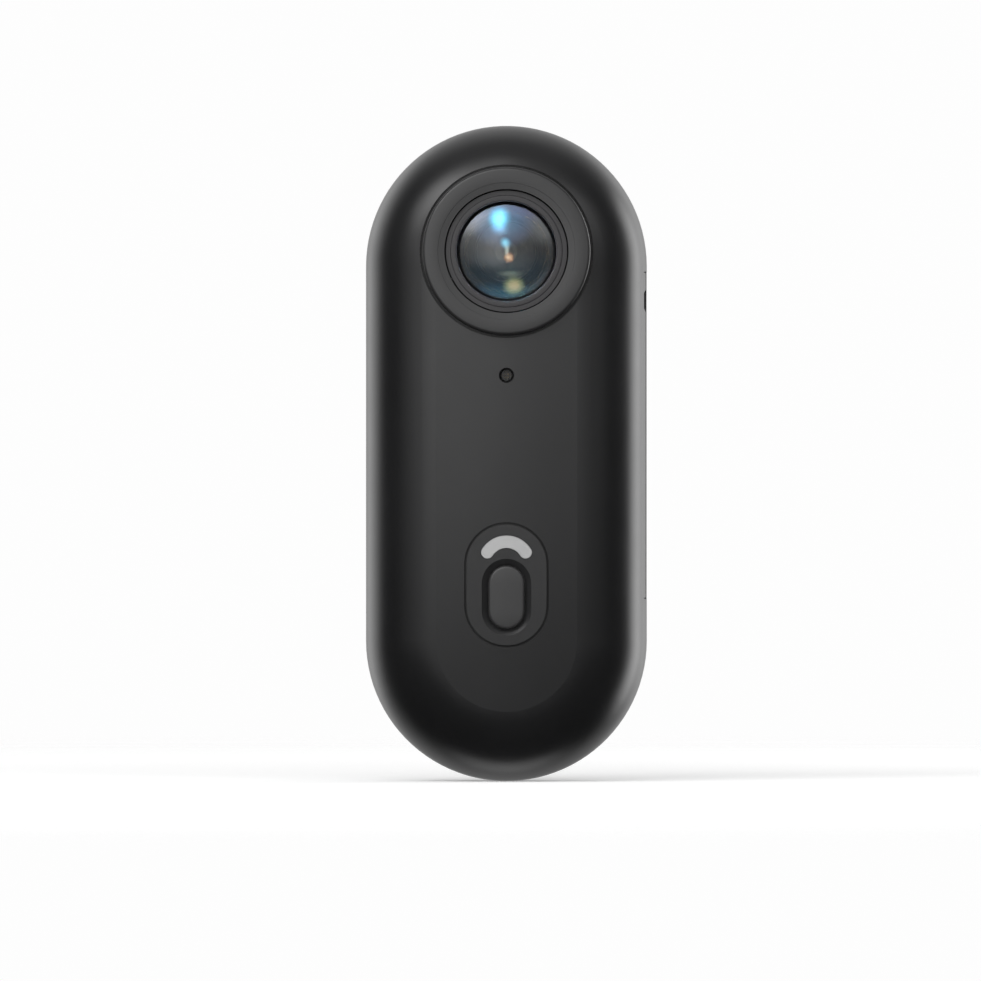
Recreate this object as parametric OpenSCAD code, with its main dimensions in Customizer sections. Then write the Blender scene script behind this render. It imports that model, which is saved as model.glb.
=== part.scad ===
// A thumb-sized wearable camera with a stadium-shaped body, a raised round lens,
// a press button under a light arc, and a hinged cover over the ports on one side.
// Every piece is drawn lying on the camera's back: x is across, y runs up the long
// axis from the middle of the body, and z is the height above the back face.
// upright() then stands it up, so the lens looks along -Y and the back face is y = 0.

/* [Body] */
// Width of the body between its straight sides
body_w = 30; // [28.5:0.5:33]
// Length of the body from end to end
body_l = 70; // [68:1:78]
// Depth of the body from the back face to the front face
body_d = 16; // [15.6:0.2:18]
// Radius of the front edge
front_r = 7.5; // [6.5:0.25:7.5]
// Radius of the back edge
back_r = 5; // [4:0.25:5.5]
// Thickness of the shell walls
wall = 1.5; // [1.3:0.1:1.7]
// Height of the parting line above the back face
parting_z = 4.4; // [4:0.1:4.6]
// Depth of the V-shaped seam along the parting line
seam_depth = 0.15; // [0.05:0.05:0.2]

/* [Lens] */
// Distance of the lens axis below the top end
lens_from_top = 13.5; // [12.5:0.25:15]
// Outer radius of the bezel ring
bezel_r = 8.95; // [8.8:0.05:9.6]
// Width of the groove round the bezel ring
bezel_groove = 0.28; // [0.12:0.02:0.36]
// Radius where the bezel's flat rim ends and its slope starts
bezel_rim_r = 7.3; // [7.2:0.1:8]
// Height of the bezel's rim above the front face
bezel_proud = 0.9; // [0.6:0.1:1.2]
// Radius of the lens barrel's head
barrel_r = 6.45; // [6.3:0.05:6.6]
// Radius of the barrel's threaded body
thread_r = 5.95; // [5.8:0.05:6]
// Length of the lens barrel
barrel_l = 8.6; // [8:0.1:9]
// Radius of the front glass
glass_r = 5.35; // [5.1:0.05:5.5]
// Height of the dome of the front glass
dome_h = 1.2; // [0.8:0.1:1.4]
// Radius of the inner glasses
inner_glass_r = 4; // [3.6:0.1:4.3]

/* [Control panel] */
// Distance of the panel's middle above the bottom end
panel_from_bottom = 21; // [20:0.5:24]
// Width of the panel
panel_w = 9; // [8.5:0.1:10]
// Length of the panel
panel_l = 13.35; // [12.85:0.1:15]
// Thickness of the panel
panel_t = 1; // [0.9:0.1:1.1]
// Width of the button
button_w = 3.8; // [3.4:0.1:4.4]
// Length of the button
button_l = 6.7; // [6.2:0.1:7]
// Distance of the button's middle below the panel's middle
button_drop = 1.3; // [1.2:0.05:1.6]
// How far the button travels
button_travel = 0.35; // [0.2:0.05:0.4]
// Width of the sunk moat around the button
moat_w = 0.75; // [0.5:0.05:0.85]
// Depth of the moat
moat_depth = 0.45; // [0.3:0.05:0.6]
// Radius of the light arc's middle line
light_r = 2.4; // [2:0.1:2.6]
// Width of the light arc
light_w = 1.3; // [1:0.1:1.5]
// Half of the angle that the light arc spans
light_angle = 58; // [40:2:60]
// Distance of the light arc's centre above the panel's middle
light_rise = 2.2; // [2.1:0.05:2.6]

/* [Microphone] */
// Distance of the microphone hole below the lens axis
mic_below_lens = 13.2; // [12.8:0.1:13.6]
// Radius of the microphone hole
mic_hole_r = 0.7; // [0.4:0.05:0.8]
// Width of the slope round the microphone hole
mic_chamfer = 0.12; // [0.05:0.01:0.2]

/* [Port cover] */
// Length of the port cover
cover_l = 34.7; // [31:0.1:35.5]
// Distance of the cover's middle below the lens axis
cover_below_lens = 19.55; // [19.1:0.05:19.7]
// Width of the cover, from its back edge to its front edge
cover_w = 5.8; // [5.6:0.1:6]
// Thickness of the cover
cover_t = 1.4; // [1.3:0.05:1.45]
// How far the cover lies below the side of the body
cover_inset = 0.12; // [0.05:0.01:0.2]
// Radius of the rounded corners at the cover's front edge
cover_corner_r = 1.2; // [0.6:0.1:2]
// Radius of the knuckle along the cover's back edge
knuckle_r = 0.8; // [0.75:0.05:0.85]
// Radius of the trunnion at each end of the knuckle
trunnion_r = 0.5; // [0.4:0.05:0.55]
// Length of each trunnion
trunnion_l = 1; // [0.6:0.1:1.2]
// How far the cover opens, in degrees
cover_open = 110; // [95:1:112]

/* [Ports] */
// Height of the USB connector's metal shell
usb_h = 3.16; // [3:0.02:3.2]
// Width of the USB connector's metal shell
usb_w = 8.94; // [8.8:0.02:9.2]
// Length of the USB connector
usb_l = 7.35; // [6.8:0.05:8]
// Distance of the USB connector above the middle of the cover
usb_rise = 3.2; // [2.6:0.1:3.4]
// Width of the card socket
card_socket_w = 14; // [13.4:0.1:14.4]
// Length of the card socket
card_socket_l = 14.6; // [14.2:0.1:15]
// Height of the card socket
card_socket_h = 1.4; // [1.3:0.05:1.6]
// Width of a memory card with its play
card_w = 11.2; // [11:0.05:11.6]
// Thickness of a memory card with its play
card_t = 0.9; // [0.8:0.05:0.95]

/* [Boards and battery] */
// Space between the inner front wall and the main board
board_gap = 2.9; // [2.8:0.1:3.2]
// Thickness of the main board and the sensor board
board_t = 0.8; // [0.6:0.1:1]
// Space on each side of the battery cell, up to the port frame
battery_space = 1; // [0.8:0.1:3]
// Thickness of the battery cell
battery_t = 4; // [3:0.1:4.2]
// Width of the image sensor
sensor_w = 8; // [6:0.2:8.6]
// Side of the lens holder's square base
holder_w = 14; // [13:0.2:14.6]
// Radius of the magnets in the back cover
magnet_r = 4.5; // [3:0.1:5]
// Thickness of the magnets
magnet_t = 1.5; // [1:0.1:1.6]

/* [Fasteners] */
// Radius of the case screws' shanks
screw_r = 0.7; // [0.6:0.05:0.8]
// Radius of the case screws' heads
screw_head_r = 1.25; // [1.15:0.05:1.35]
// Length of the case screws
screw_l = 8.5; // [7:0.1:9.5]
// Radius of the posts that the case screws go into
post_r = 1.7; // [1.6:0.05:1.8]
// Radius of the small screws' shanks
small_screw_r = 0.5; // [0.4:0.05:0.6]

/* [Hidden] */
$fn = 72;
eps = 0.01;
reach = 100;                            // larger than the whole camera
clear = 0.12;                           // gap round a piece that moves or drops in
snug = 0.03;                            // radial gap round a piece that is held still

end_y = (body_l - body_w) / 2;          // centre of the round ends
side_x = body_w / 2;
inner_z = body_d - wall;                // inside of the front wall
lens_y = body_l / 2 - lens_from_top;
panel_y = panel_from_bottom - body_l / 2;
button_y = panel_y - button_drop;
light_y = panel_y + light_rise;
mic_y = lens_y - mic_below_lens;
// half width of the body at the parting line
parting_x = side_x - back_r + sqrt(pow(back_r, 2) - pow(max(0, back_r - parting_z), 2));

// bezel
seat_depth = 2.1;
seat_z = body_d - seat_depth;           // ledge that the bezel's gasket lies on
gasket_t = 0.2;
boss_wall = 1.17;
boss_r = bezel_r + bezel_groove + boss_wall;
boss_h = 1.3;                           // depth of the lens boss below the ledge
sleeve_inset = 0.85;
sleeve_r = bezel_r - sleeve_inset;      // bezel's sleeve through the shell
rim_z = body_d + bezel_proud;
bezel_bore_r = barrel_r + clear;
bezel_slope_h = 0.15;
bezel_step = 0.08;                      // drop where the flat rim ends
bezel_edge_r = 0.35;

// lens barrel and its glasses
barrel_top_z = rim_z - 0.75;
barrel_z = barrel_top_z - barrel_l;
barrel_head_h = 3;
glass_top_z = rim_z - 0.2;
dome_z = glass_top_z - dome_h;          // where the dome meets the glass's edge
dome_ball_r = (glass_r * glass_r + dome_h * dome_h) / (2 * dome_h);
glass_edge_h = 1.2;
glass_seat_w = 0.5;
front_glass_t = 0.5;                    // thickness at the middle
hollow_r = inner_glass_r + 1.1;
retainer_z = dome_z + 0.1;
retainer_r = glass_r + 0.6;
retainer_lip = 0.15;                    // how far the retainer reaches over the glass
retainer_bevel = 0.1;
rear_ledge_h = 0.55;
rear_opening_r = inner_glass_r - 0.8;
rear_glass_z = barrel_z + rear_ledge_h;
inner_glass_h = 2;
rear_glass_edge = 1.2;
middle_glass_edge = 1;
stop_z = rear_glass_z + inner_glass_h;
stop_h = 0.2;
stop_r = 1.4;
spacer_h = 0.9;
spacer_wall = 0.7;
middle_glass_z = stop_z + stop_h + spacer_h;
lens_fn = 180;                          // glasses need smooth curves

// lens holder and image sensor
sensor_board_z = wall + 1.1;
sensor_face_z = sensor_board_z + board_t;
sensor_board_edge = 0.6;                // margin of the board round the holder
sensor_l = sensor_w - 1;
sensor_t = 0.6;
sensor_frame_w = 0.8;
sensor_cover_t = 0.2;
filter_w = sensor_w + 1;
filter_t = 0.4;
filter_ledge = 0.8;
holder_base_h = 3.6;
holder_l = 8;
holder_r = thread_r + 1.3;
pocket_h = 2;
window_h = 0.6;

// casing posts and screws
board_play = 0.2;                       // between the posts and a board's edge
cover_post_r = post_r + 0.2;
top_post_inset = 7;                     // from the side of the body to each post
bottom_post_inset = 10;
bottom_post_rise = 8;                   // above the bottom end
top_post = [side_x - top_post_inset,
            lens_y - holder_w / 2 - sensor_board_edge - cover_post_r - board_play];
bottom_post = [side_x - bottom_post_inset, bottom_post_rise - body_l / 2];
screw_head_h = 0.9;
screw_sunk = 0.15;                      // how far the screw heads lie below the back face
pilot_over = 0.5;                       // pilot hole past a screw's tip
cross_l = 1.3;                          // slots in a screw's head, in head radii
cross_w = 0.3;
small_head_r = small_screw_r + 0.5;
small_head_h = 0.7;
sensor_post_inset = 4.85;
sensor_post_x = side_x - sensor_post_inset;
sensor_post_r = 1.5;
sensor_screw_bite = 3;                  // length of thread in the post
board_post_r = post_r - 0.2;
board_screw_bite = 2;

// main board
frame_t = 3;                            // depth of the port frame behind the side
frame_x = side_x - frame_t;
board_front_z = inner_z - board_gap;
board_back_z = board_front_z - board_t;
board_x = frame_x - 0.8;                // half width of the main board
board_corner_r = 1;
board_top_y = top_post[1] - post_r - board_play;
board_bottom_y = bottom_post[1] + post_r + 0.5;
board_l = board_top_y - board_bottom_y;
board_mid_y = (board_top_y + board_bottom_y) / 2;
board_post_inset = 1.8;
board_post_x = board_x - board_post_inset;
top_board_post_drop = 2.7;              // from the board's ends to its posts
low_board_post_rise = board_post_r + 0.7;
board_posts = [[-board_post_x, board_top_y - top_board_post_drop],
               [-board_post_x, board_bottom_y + low_board_post_rise],
               [board_post_x, board_bottom_y + low_board_post_rise]];

// pieces on the boards
chip_h = 0.9;
antenna_y = board_bottom_y + 1.3;
antenna_w = 5;
antenna_l = 1.6;
antenna_h = 1.1;
led_w = 1.6;
led_l = 0.8;
led_h = 0.6;

// microphone
mic_w = 3.8;
mic_l = 3;
mic_h = 1.1;
mic_top_z = board_front_z + mic_h;
mic_pocket_r = mic_hole_r + 0.5;
mic_pad_r = mic_hole_r + 1.4;
mic_pad_z = inner_z - 0.4;
mic_boot_r = 1.4;
mic_boot_bore_r = 0.4;
mesh_t = 0.2;
mesh_z = inner_z + 0.5 - mesh_t;

// processor and its shield, between the status light and the microphone
shield_gap = 1.5;
shield_low_y = light_y + light_r + shield_gap;
shield_high_y = mic_y - mic_l / 2 - shield_gap;
shield_y = (shield_low_y + shield_high_y) / 2;
shield_l = shield_high_y - shield_low_y;
shield_w = 12;
shield_h = 1.4;
shield_t = 0.15;
processor_edge = 1.4;                   // from the processor to the shield's outside

// flat cable from the sensor board to the main board
cable_w = 3;
cable_t = 0.15;
cable_bend = 0.6;
cable_tab_w = cable_w + 1.4;
cable_tab_l = 6;
cable_x = cover_post_r + 0.2 + cable_tab_w / 2 - top_post[0];
cable_y = board_top_y + 0.2;
cable_low_z = sensor_face_z + 0.4;
cable_high_z = board_back_z - 0.35;
socket_w = cable_w + 1;
socket_l = 2;
socket_h = 0.9;
socket_slot_z = 0.35;
low_socket_y = cable_y + 1.1;
high_socket_y = board_top_y - 0.4;

// control panel
panel_sunk = 0.05;
panel_z = body_d - panel_t - panel_sunk;
panel_groove = 0.25;                    // width of the groove round the panel
panel_ledge = 0.8;
panel_boss_w = 1;
panel_boss_h = 1;
guide_flange_w = 0.3;
guide_flange_h = 0.7;
guide_stem_r = 0.8;
guide_gap = 0.1;                        // between the status light and its guide
button_top_z = body_d + 0.1;
button_edge = 0.25;
button_flange_w = 0.55;
button_flange_h = 0.9;
button_flange_z = panel_z - 0.1 - button_flange_h;
plunger_r = 1;
switch_w = 3;
switch_l = 3.6;
switch_h = 1.2;
actuator_r = 0.8;
actuator_l = 0.85;
actuator_play = 0.06;
actuator_out = 0.45;                    // how far the actuator stands out of the switch
actuator_top_z = board_front_z + switch_h + actuator_out;

// port cover
cover_y = lens_y - cover_below_lens;
usb_z = board_back_z - usb_h / 2;
cover_back_z = usb_z - cover_w / 2 - 0.72;
cover_front_z = cover_back_z + cover_w;
cover_face_x = side_x - cover_inset;
cover_inner_x = cover_face_x - cover_t;
hinge_x = cover_face_x - knuckle_r;
hinge_z = cover_back_z + knuckle_r;
trunnion_play = 0.05;
seal_pad_t = 0.3;
seal_t = 0.48;                          // pad and its raised rim together
seal_rim_w = 0.6;
seal_edge = 0.6;                        // margin of the cover beyond the seal's ends
seal_w = cover_w - 2 * knuckle_r - 0.25;
seal_z = hinge_z + knuckle_r + 0.05 + seal_w / 2;
recess_x = cover_inner_x - seal_t - 0.05; // floor of the port recess
frame_margin = 2.4;                     // of the port frame beyond each end of the cover
frame_l = cover_l + 2 * frame_margin;
frame_top_z = cover_front_z + 1.2;
nail_r = 2.2;
nail_depth = 0.35;
nail_from_end = 3;
nail_h = 2.2;
nail_rise = 1.6;
nail_z = hinge_z + nail_rise;

// ports
usb_y = cover_y + usb_rise;
port_setback = 2.15;
usb_mouth_x = side_x - port_setback;
usb_wall = 0.3;
usb_gap = 0.18;                         // round the connector, through the frame
tongue_side = 1.1;                      // from the tongue's edge to the shell's outside
tongue_t = 0.7;
tongue_short = 1;
card_y = usb_y - usb_w / 2 - 0.6 - card_socket_w / 2;
card_slot_z = board_back_z - card_socket_h / 2;
card_mouth_x = frame_x - 0.05;
card_back_wall = 0.4;
card_gap = 0.3;                         // round the slot, through the frame
card_end_x = card_mouth_x - card_socket_l;
memory_margin = 1.2;                    // beside the memory chip, up to the card socket
memory_x = (card_end_x - board_x) / 2;
memory_w = card_end_x + board_x - 2 * memory_margin;
memory_l = 8;

// battery and back cover
shelf_z = wall + 0.8;                   // top of the ribs that carry the battery
pad_t = 0.3;
pad_edge = 1;
battery_z = shelf_z + pad_t;
battery_w = 2 * (frame_x - battery_space);
battery_bottom_y = bottom_post[1] + cover_post_r + 0.3;
protection_l = 1.4;                     // the cell's protection board
protection_edge = 0.6;
protection_w = battery_w - battery_t;
battery_top_y = top_post[1] - cover_post_r - 0.9 - protection_l;
battery_l = battery_top_y - battery_bottom_y;
battery_y = (battery_top_y + battery_bottom_y) / 2;
rib_inset = 2;
rib_x = battery_w / 2 - rib_inset;
rib_t = 1;
magnet_ring_t = 0.8;
magnet_reach = 8;                       // from the battery's middle to each magnet
magnet_places = [battery_y - magnet_reach, battery_y + magnet_reach];
lead_r = 0.35;
lead_step = 0.5;                        // from the pair's middle to each lead
lead_gap = 0.55;                        // between the leads and the flat cable's socket
lead_x = cable_x - socket_w / 2 - lead_gap - lead_r - lead_step;
lead_y = battery_top_y + protection_l / 2;
lead_bend = 0.9;
lead_low_z = battery_z + battery_t - protection_edge;
lead_high_z = board_back_z - 0.75;
plug_w = 4.4;
plug_l = 3.2;
plug_h = 1.5;
plug_drop = 5.5;                        // below the main board's top end
plug_y = board_top_y - plug_drop;
lip_t = 0.7;                            // lip of the back cover, inside the front shell
lip_h = 1.2;
lip_inset = wall + 0.1;
seal_ring_w = 0.6;
seal_ring_inset = 0.45;
seal_ring_h = 0.5;

black = "#262626";
dark = "#151515";
grey = "#4a4a4a";
steel = "#b8babd";
gold = "#c9a227";
ivory = "#e8e4d8";
chip = "#222222";
glass = "#9fb6d8";
board_green = "#1d4a33";

// ---- shared forms ----

module upright() {
    rotate([90, 0, 0]) children();
}

// A flat stadium with its long axis along y.
module stadium(w, l) {
    square([w, l - w], center = true);
    for (end = [-1, 1]) translate([0, end * (l - w) / 2]) circle(w / 2);
}

// A stadium block that stands on z.
module stadium_block(w, l, h) {
    linear_extrude(h) stadium(w, l);
}

// A stadium block whose walls slope, from w_low at the bottom to w_high at the top.
module stadium_funnel(w_low, w_high, straight, h) {
    for (end = [-1, 1]) translate([0, end * straight / 2])
        cylinder(h = h, r1 = w_low / 2, r2 = w_high / 2);
    along_y(straight) polygon([[-w_low / 2, 0], [w_low / 2, 0], [w_high / 2, h], [-w_high / 2, h]]);
}

module tube(r_out, r_in, h) {
    difference() {
        cylinder(h = h, r = r_out);
        translate([0, 0, -eps]) cylinder(h = h + 2 * eps, r = r_in);
    }
}

// A block centred on x and y that stands on z.
module block(w, l, h) {
    translate([-w / 2, -l / 2, 0]) cube([w, l, h]);
}

// Turns a flat outline drawn in x and z into a bar along y, centred on y = 0.
module along_y(l) {
    translate([0, l / 2, 0]) rotate([90, 0, 0]) linear_extrude(l) children();
}

// A quarter of a flat ring, turned by an angle in steps of a quarter.
module quarter_ring(r_out, r_in, turn) {
    rotate(turn) intersection() {
        difference() {
            circle(r_out);
            circle(r_in);
        }
        square(r_out + 1);
    }
}

// Half of the body's cross-section, right of its middle, with its depth drawn upwards.
module half_section(inset) {
    half_w = side_x - inset;
    rb = back_r - inset;
    rf = front_r - inset;
    intersection() {
        square([side_x, body_d]);
        union() {
            translate([0, inset]) square([half_w - rb, body_d / 2 - inset]);
            translate([0, back_r]) square([half_w, body_d - back_r - front_r]);
            translate([0, body_d / 2]) square([half_w - rf, body_d / 2 - inset]);
            translate([half_w - rb, back_r]) circle(rb);
            translate([half_w - rf, body_d - front_r]) circle(rf);
        }
    }
}

// Carries a profile, drawn right of the middle, along both sides and round both ends.
module round_body() {
    for (end = [0, 1]) mirror([0, end, 0]) translate([0, end_y, 0])
        rotate_extrude(angle = 180) children();
    along_y(2 * end_y) {
        children();
        mirror([1, 0]) children();
    }
}

// The whole rounded body, or the same form drawn in by inset on every side.
module body_form(inset = 0) {
    round_body() half_section(inset);
}

// V-shaped seam, cut half into the front shell and half into the back cover.
module seam() {
    round_body() translate([parting_x - seam_depth, parting_z])
        polygon([[0, 0], [2 * seam_depth, -2 * seam_depth], [2 * seam_depth, 2 * seam_depth]]);
}

// A straight-sided stadium with the body's outline, drawn in by inset.
module body_outline(inset, h) {
    stadium_block(body_w - 2 * inset, body_l - 2 * inset, h);
}

module everything_below(z) {
    translate([-reach / 2, -reach / 2, z - reach]) cube(reach);
}

module everything_above(z) {
    translate([-reach / 2, -reach / 2, z]) cube(reach);
}

// Places its children at both sides of the middle.
module both_sides() {
    for (side = [0, 1]) mirror([side, 0, 0]) children();
}

module at_case_posts() {
    both_sides() {
        translate(top_post) children();
        translate(bottom_post) children();
    }
}

module at_board_posts() {
    for (place = board_posts) translate(place) children();
}

module at_sensor_posts() {
    both_sides() translate([sensor_post_x, lens_y]) children();
}

// A screw that points up, with the face of its head at z = 0 and a cross in it.
module screw(head_r, head_h, shank_r, length) {
    difference() {
        union() {
            cylinder(h = head_h, r = head_r);
            cylinder(h = length, r = shank_r);
        }
        for (turn = [0, 90]) rotate(turn) translate([0, 0, -eps])
            block(cross_l * head_r, cross_w * head_r, head_h / 2);
    }
}

// ---- port cover: what the cover and its recess share ----

// Outline of the cover's plate seen from the side of the camera, y across and z up.
module cover_outline(grow) {
    l = cover_l + 2 * grow;
    w = cover_w - knuckle_r + grow;
    r = cover_corner_r + grow;
    square([l, w - r]);
    translate([r, 0]) square([l - 2 * r, w]);
    for (x = [r, l - r]) translate([x, w - r]) circle(r);
}

// The plate's outline pushed across the side wall, from the hinge line to the front edge.
module cover_block(from_x, to_x, grow) {
    translate([from_x, cover_y - cover_l / 2 - grow, hinge_z])
        rotate([90, 0, 90]) linear_extrude(to_x - from_x) cover_outline(grow);
}

// Room behind the knuckle, so that the cover can swing to its stop.
module swing_relief() {
    translate([0, cover_y, 0]) along_y(cover_l + 2 * clear) translate([hinge_x, hinge_z]) {
        circle(knuckle_r + clear);
        rotate(90 - cover_open) translate([0, -knuckle_r - clear])
            square([reach, knuckle_r + clear]);
        translate([0, -knuckle_r / 2]) square([reach, knuckle_r]);
    }
}

module trunnions(r, l) {
    translate([hinge_x, cover_y, hinge_z]) rotate([90, 0, 0])
        cylinder(h = cover_l + 2 * l, r = r, center = true);
}

// ---- casing ----

// What stands in the hollow of the front shell.
module front_bosses() {
    translate([0, lens_y, seat_z - boss_h]) cylinder(h = reach, r = boss_r);
    translate([0, panel_y, inner_z - panel_boss_h])
        stadium_block(panel_w + 2 * panel_boss_w, panel_l + 2 * panel_boss_w, reach);
    translate([0, mic_y, mic_pad_z]) cylinder(h = reach, r = mic_pad_r);
    translate([frame_x, cover_y - frame_l / 2, 0]) cube([reach, frame_l, frame_top_z]);
    at_case_posts() cylinder(h = reach, r = post_r);
    at_board_posts() translate([0, 0, board_front_z]) cylinder(h = reach, r = board_post_r);
    at_sensor_posts() translate([0, 0, sensor_face_z]) cylinder(h = reach, r = sensor_post_r);
}

module front_shell() upright() color(black) difference() {
    union() {
        difference() {
            body_form();
            difference() {
                union() {
                    body_form(wall);
                    body_outline(wall, back_r);
                }
                front_bosses();
            }
            everything_below(parting_z);
        }
        // ends of the sensor's posts, which reach down past the parting line
        at_sensor_posts() translate([0, 0, sensor_face_z])
            cylinder(h = parting_z - sensor_face_z + eps, r = sensor_post_r);
    }
    // lens seat
    translate([0, lens_y, seat_z]) cylinder(h = reach, r = bezel_r + bezel_groove);
    translate([0, lens_y, 0]) cylinder(h = reach, r = sleeve_r + clear);
    // seat of the control panel, and the way through it
    translate([0, panel_y, panel_z]) stadium_block(panel_w, panel_l, reach);
    translate([0, panel_y, board_front_z])
        stadium_block(panel_w - 2 * panel_ledge, panel_l - 2 * panel_ledge, reach);
    seam();
    // microphone hole with its sloping rim, and the pocket of its mesh
    translate([0, mic_y, 0]) cylinder(h = reach, r = mic_hole_r);
    translate([0, mic_y, body_d - mic_chamfer])
        cylinder(h = mic_chamfer + eps, r1 = mic_hole_r, r2 = mic_hole_r + mic_chamfer + eps);
    translate([0, mic_y, board_front_z])
        cylinder(h = mesh_z + mesh_t - board_front_z, r = mic_pocket_r);
    // pilot holes
    at_case_posts() cylinder(h = screw_sunk + screw_l + pilot_over, r = screw_r + snug);
    at_board_posts()
        cylinder(h = board_front_z + board_screw_bite + pilot_over, r = small_screw_r + snug);
    at_sensor_posts()
        cylinder(h = sensor_face_z + sensor_screw_bite + pilot_over, r = small_screw_r + snug);
    // port recess with its hinge, and the way through to each port
    cover_block(recess_x, side_x + eps, clear);
    swing_relief();
    trunnions(trunnion_r + trunnion_play, trunnion_l + clear);
    translate([0, usb_y, usb_z]) rotate([0, 90, 0])
        stadium_block(usb_h + 2 * usb_gap, usb_w + 2 * usb_gap, reach);
    translate([0, card_y - card_w / 2 - card_gap, card_slot_z - card_t / 2 - card_gap])
        cube([reach, card_w + 2 * card_gap, card_t + 2 * card_gap]);
}

// Lip that goes up inside the front shell, with a gap for the port frame.
module back_lip() {
    difference() {
        union() {
            translate([0, 0, back_r / 2]) body_outline(wall, parting_z - back_r / 2);
            body_outline(lip_inset, parting_z + lip_h);
        }
        body_outline(lip_inset + lip_t, reach);
        everything_below(back_r / 2);
        translate([frame_x - clear, cover_y - frame_l / 2 - clear, parting_z])
            cube([reach, frame_l + 2 * clear, reach]);
    }
}

module back_cover() upright() color(black) difference() {
    union() {
        difference() {
            body_form();
            body_form(wall);
            everything_above(parting_z);
        }
        back_lip();
        at_case_posts() translate([0, 0, wall - eps])
            cylinder(h = parting_z - wall + eps, r = cover_post_r);
        // ribs that carry the battery
        both_sides() translate([rib_x, battery_y, wall - eps])
            block(rib_t, battery_l - 2 * rib_t, shelf_z - wall + eps);
        // rings that hold the magnets
        for (place = magnet_places) translate([0, place, wall - eps])
            cylinder(h = shelf_z - wall + eps, r = magnet_r + magnet_ring_t);
    }
    for (place = magnet_places) translate([0, place, shelf_z - magnet_t])
        cylinder(h = reach, r = magnet_r + snug);
    at_case_posts() translate([0, 0, -eps]) {
        cylinder(h = reach, r = screw_r + clear);
        cylinder(h = screw_sunk + screw_head_h + eps, r = screw_head_r + clear);
    }
    translate([0, 0, parting_z - seal_ring_h]) difference() {
        body_outline(seal_ring_inset, reach);
        body_outline(seal_ring_inset + seal_ring_w, reach);
    }
    seam();
}

// Flat ring that seals the parting line.
module shell_gasket() upright() color(dark) translate([0, 0, parting_z - seal_ring_h])
    difference() {
        body_outline(seal_ring_inset + snug, seal_ring_h);
        translate([0, 0, -eps]) body_outline(seal_ring_inset + seal_ring_w - snug, reach);
    }

module case_screws() upright() color(steel) at_case_posts() translate([0, 0, screw_sunk])
    screw(screw_head_r, screw_head_h, screw_r, screw_l);

module magnets() upright() color(steel) for (place = magnet_places)
    translate([0, place, shelf_z - magnet_t]) cylinder(h = magnet_t, r = magnet_r);

// ---- lens ----

// Raised ring round the lens, with a sleeve that drops into the front shell.
module lens_bezel() upright() color(black) translate([0, lens_y, 0]) rotate_extrude()
    difference() {
        union() {
            translate([bezel_bore_r, seat_z - boss_h])
                square([sleeve_r - bezel_bore_r, boss_h + gasket_t + eps]);
            translate([bezel_bore_r, seat_z + gasket_t])
                square([bezel_r - bezel_bore_r, rim_z - seat_z - gasket_t]);
        }
        // slope from the rim down to the lens
        polygon([[bezel_rim_r, rim_z + eps], [bezel_rim_r, rim_z - bezel_step],
                 [bezel_bore_r - eps, rim_z - bezel_slope_h], [bezel_bore_r - eps, rim_z + eps]]);
        // rounded outer edge
        translate([bezel_r - bezel_edge_r, rim_z - bezel_edge_r]) difference() {
            square(bezel_edge_r + eps);
            circle(bezel_edge_r);
        }
    }

module bezel_gasket() upright() color(dark) translate([0, lens_y, seat_z])
    tube(bezel_r, sleeve_r + clear, gasket_t);

// Ring that is screwed into the barrel over the front glass.
module lens_retainer() upright() color(black) translate([0, lens_y, 0]) rotate_extrude()
    polygon([[glass_r - retainer_lip, retainer_z], [retainer_r, retainer_z],
             [retainer_r, barrel_top_z],
             [glass_r - retainer_lip + retainer_bevel, barrel_top_z]]);

module lens_barrel() upright() color(black) translate([0, lens_y, 0]) difference() {
    union() {
        translate([0, 0, barrel_z]) cylinder(h = barrel_l, r = thread_r);
        translate([0, 0, barrel_top_z - barrel_head_h]) cylinder(h = barrel_head_h, r = barrel_r);
    }
    translate([0, 0, retainer_z]) cylinder(h = reach, r = retainer_r + snug);
    translate([0, 0, dome_z - glass_edge_h]) cylinder(h = reach, r = glass_r + snug);
    // funnel between the front glass and the inner ones
    translate([0, 0, middle_glass_z + inner_glass_h])
        cylinder(h = dome_z - glass_edge_h - middle_glass_z - inner_glass_h + eps,
                 r1 = inner_glass_r + snug, r2 = glass_r - glass_seat_w);
    translate([0, 0, rear_glass_z]) cylinder(h = reach, r = inner_glass_r + snug);
    translate([0, 0, barrel_z - eps]) cylinder(h = reach, r = rear_opening_r);
}

// Domed meniscus, hollowed from behind.
module front_glass() upright() color(glass) translate([0, lens_y, 0]) rotate_extrude($fn = lens_fn)
    difference() {
        union() {
            translate([0, dome_z - glass_edge_h]) square([glass_r, glass_edge_h]);
            intersection() {
                translate([0, glass_top_z - dome_ball_r]) circle(dome_ball_r, $fn = 4 * lens_fn);
                translate([0, dome_z - eps]) square([glass_r, dome_h + 1]);
            }
        }
        translate([0, glass_top_z - front_glass_t - hollow_r]) circle(hollow_r, $fn = 4 * lens_fn);
    }

// Glass that bulges on both sides of its edge.
module biconvex(r, h, edge_h) {
    bulge = (h - edge_h) / 2;
    ball_r = (r * r + bulge * bulge) / (2 * bulge);
    rotate_extrude($fn = lens_fn) intersection() {
        translate([0, ball_r]) circle(ball_r, $fn = 4 * lens_fn);
        translate([0, h - ball_r]) circle(ball_r, $fn = 4 * lens_fn);
        square([r, h]);
    }
}

module middle_glass() upright() color(glass) translate([0, lens_y, middle_glass_z])
    biconvex(inner_glass_r, inner_glass_h, middle_glass_edge);

module rear_glass() upright() color(glass) translate([0, lens_y, rear_glass_z])
    biconvex(inner_glass_r, inner_glass_h, rear_glass_edge);

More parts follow.
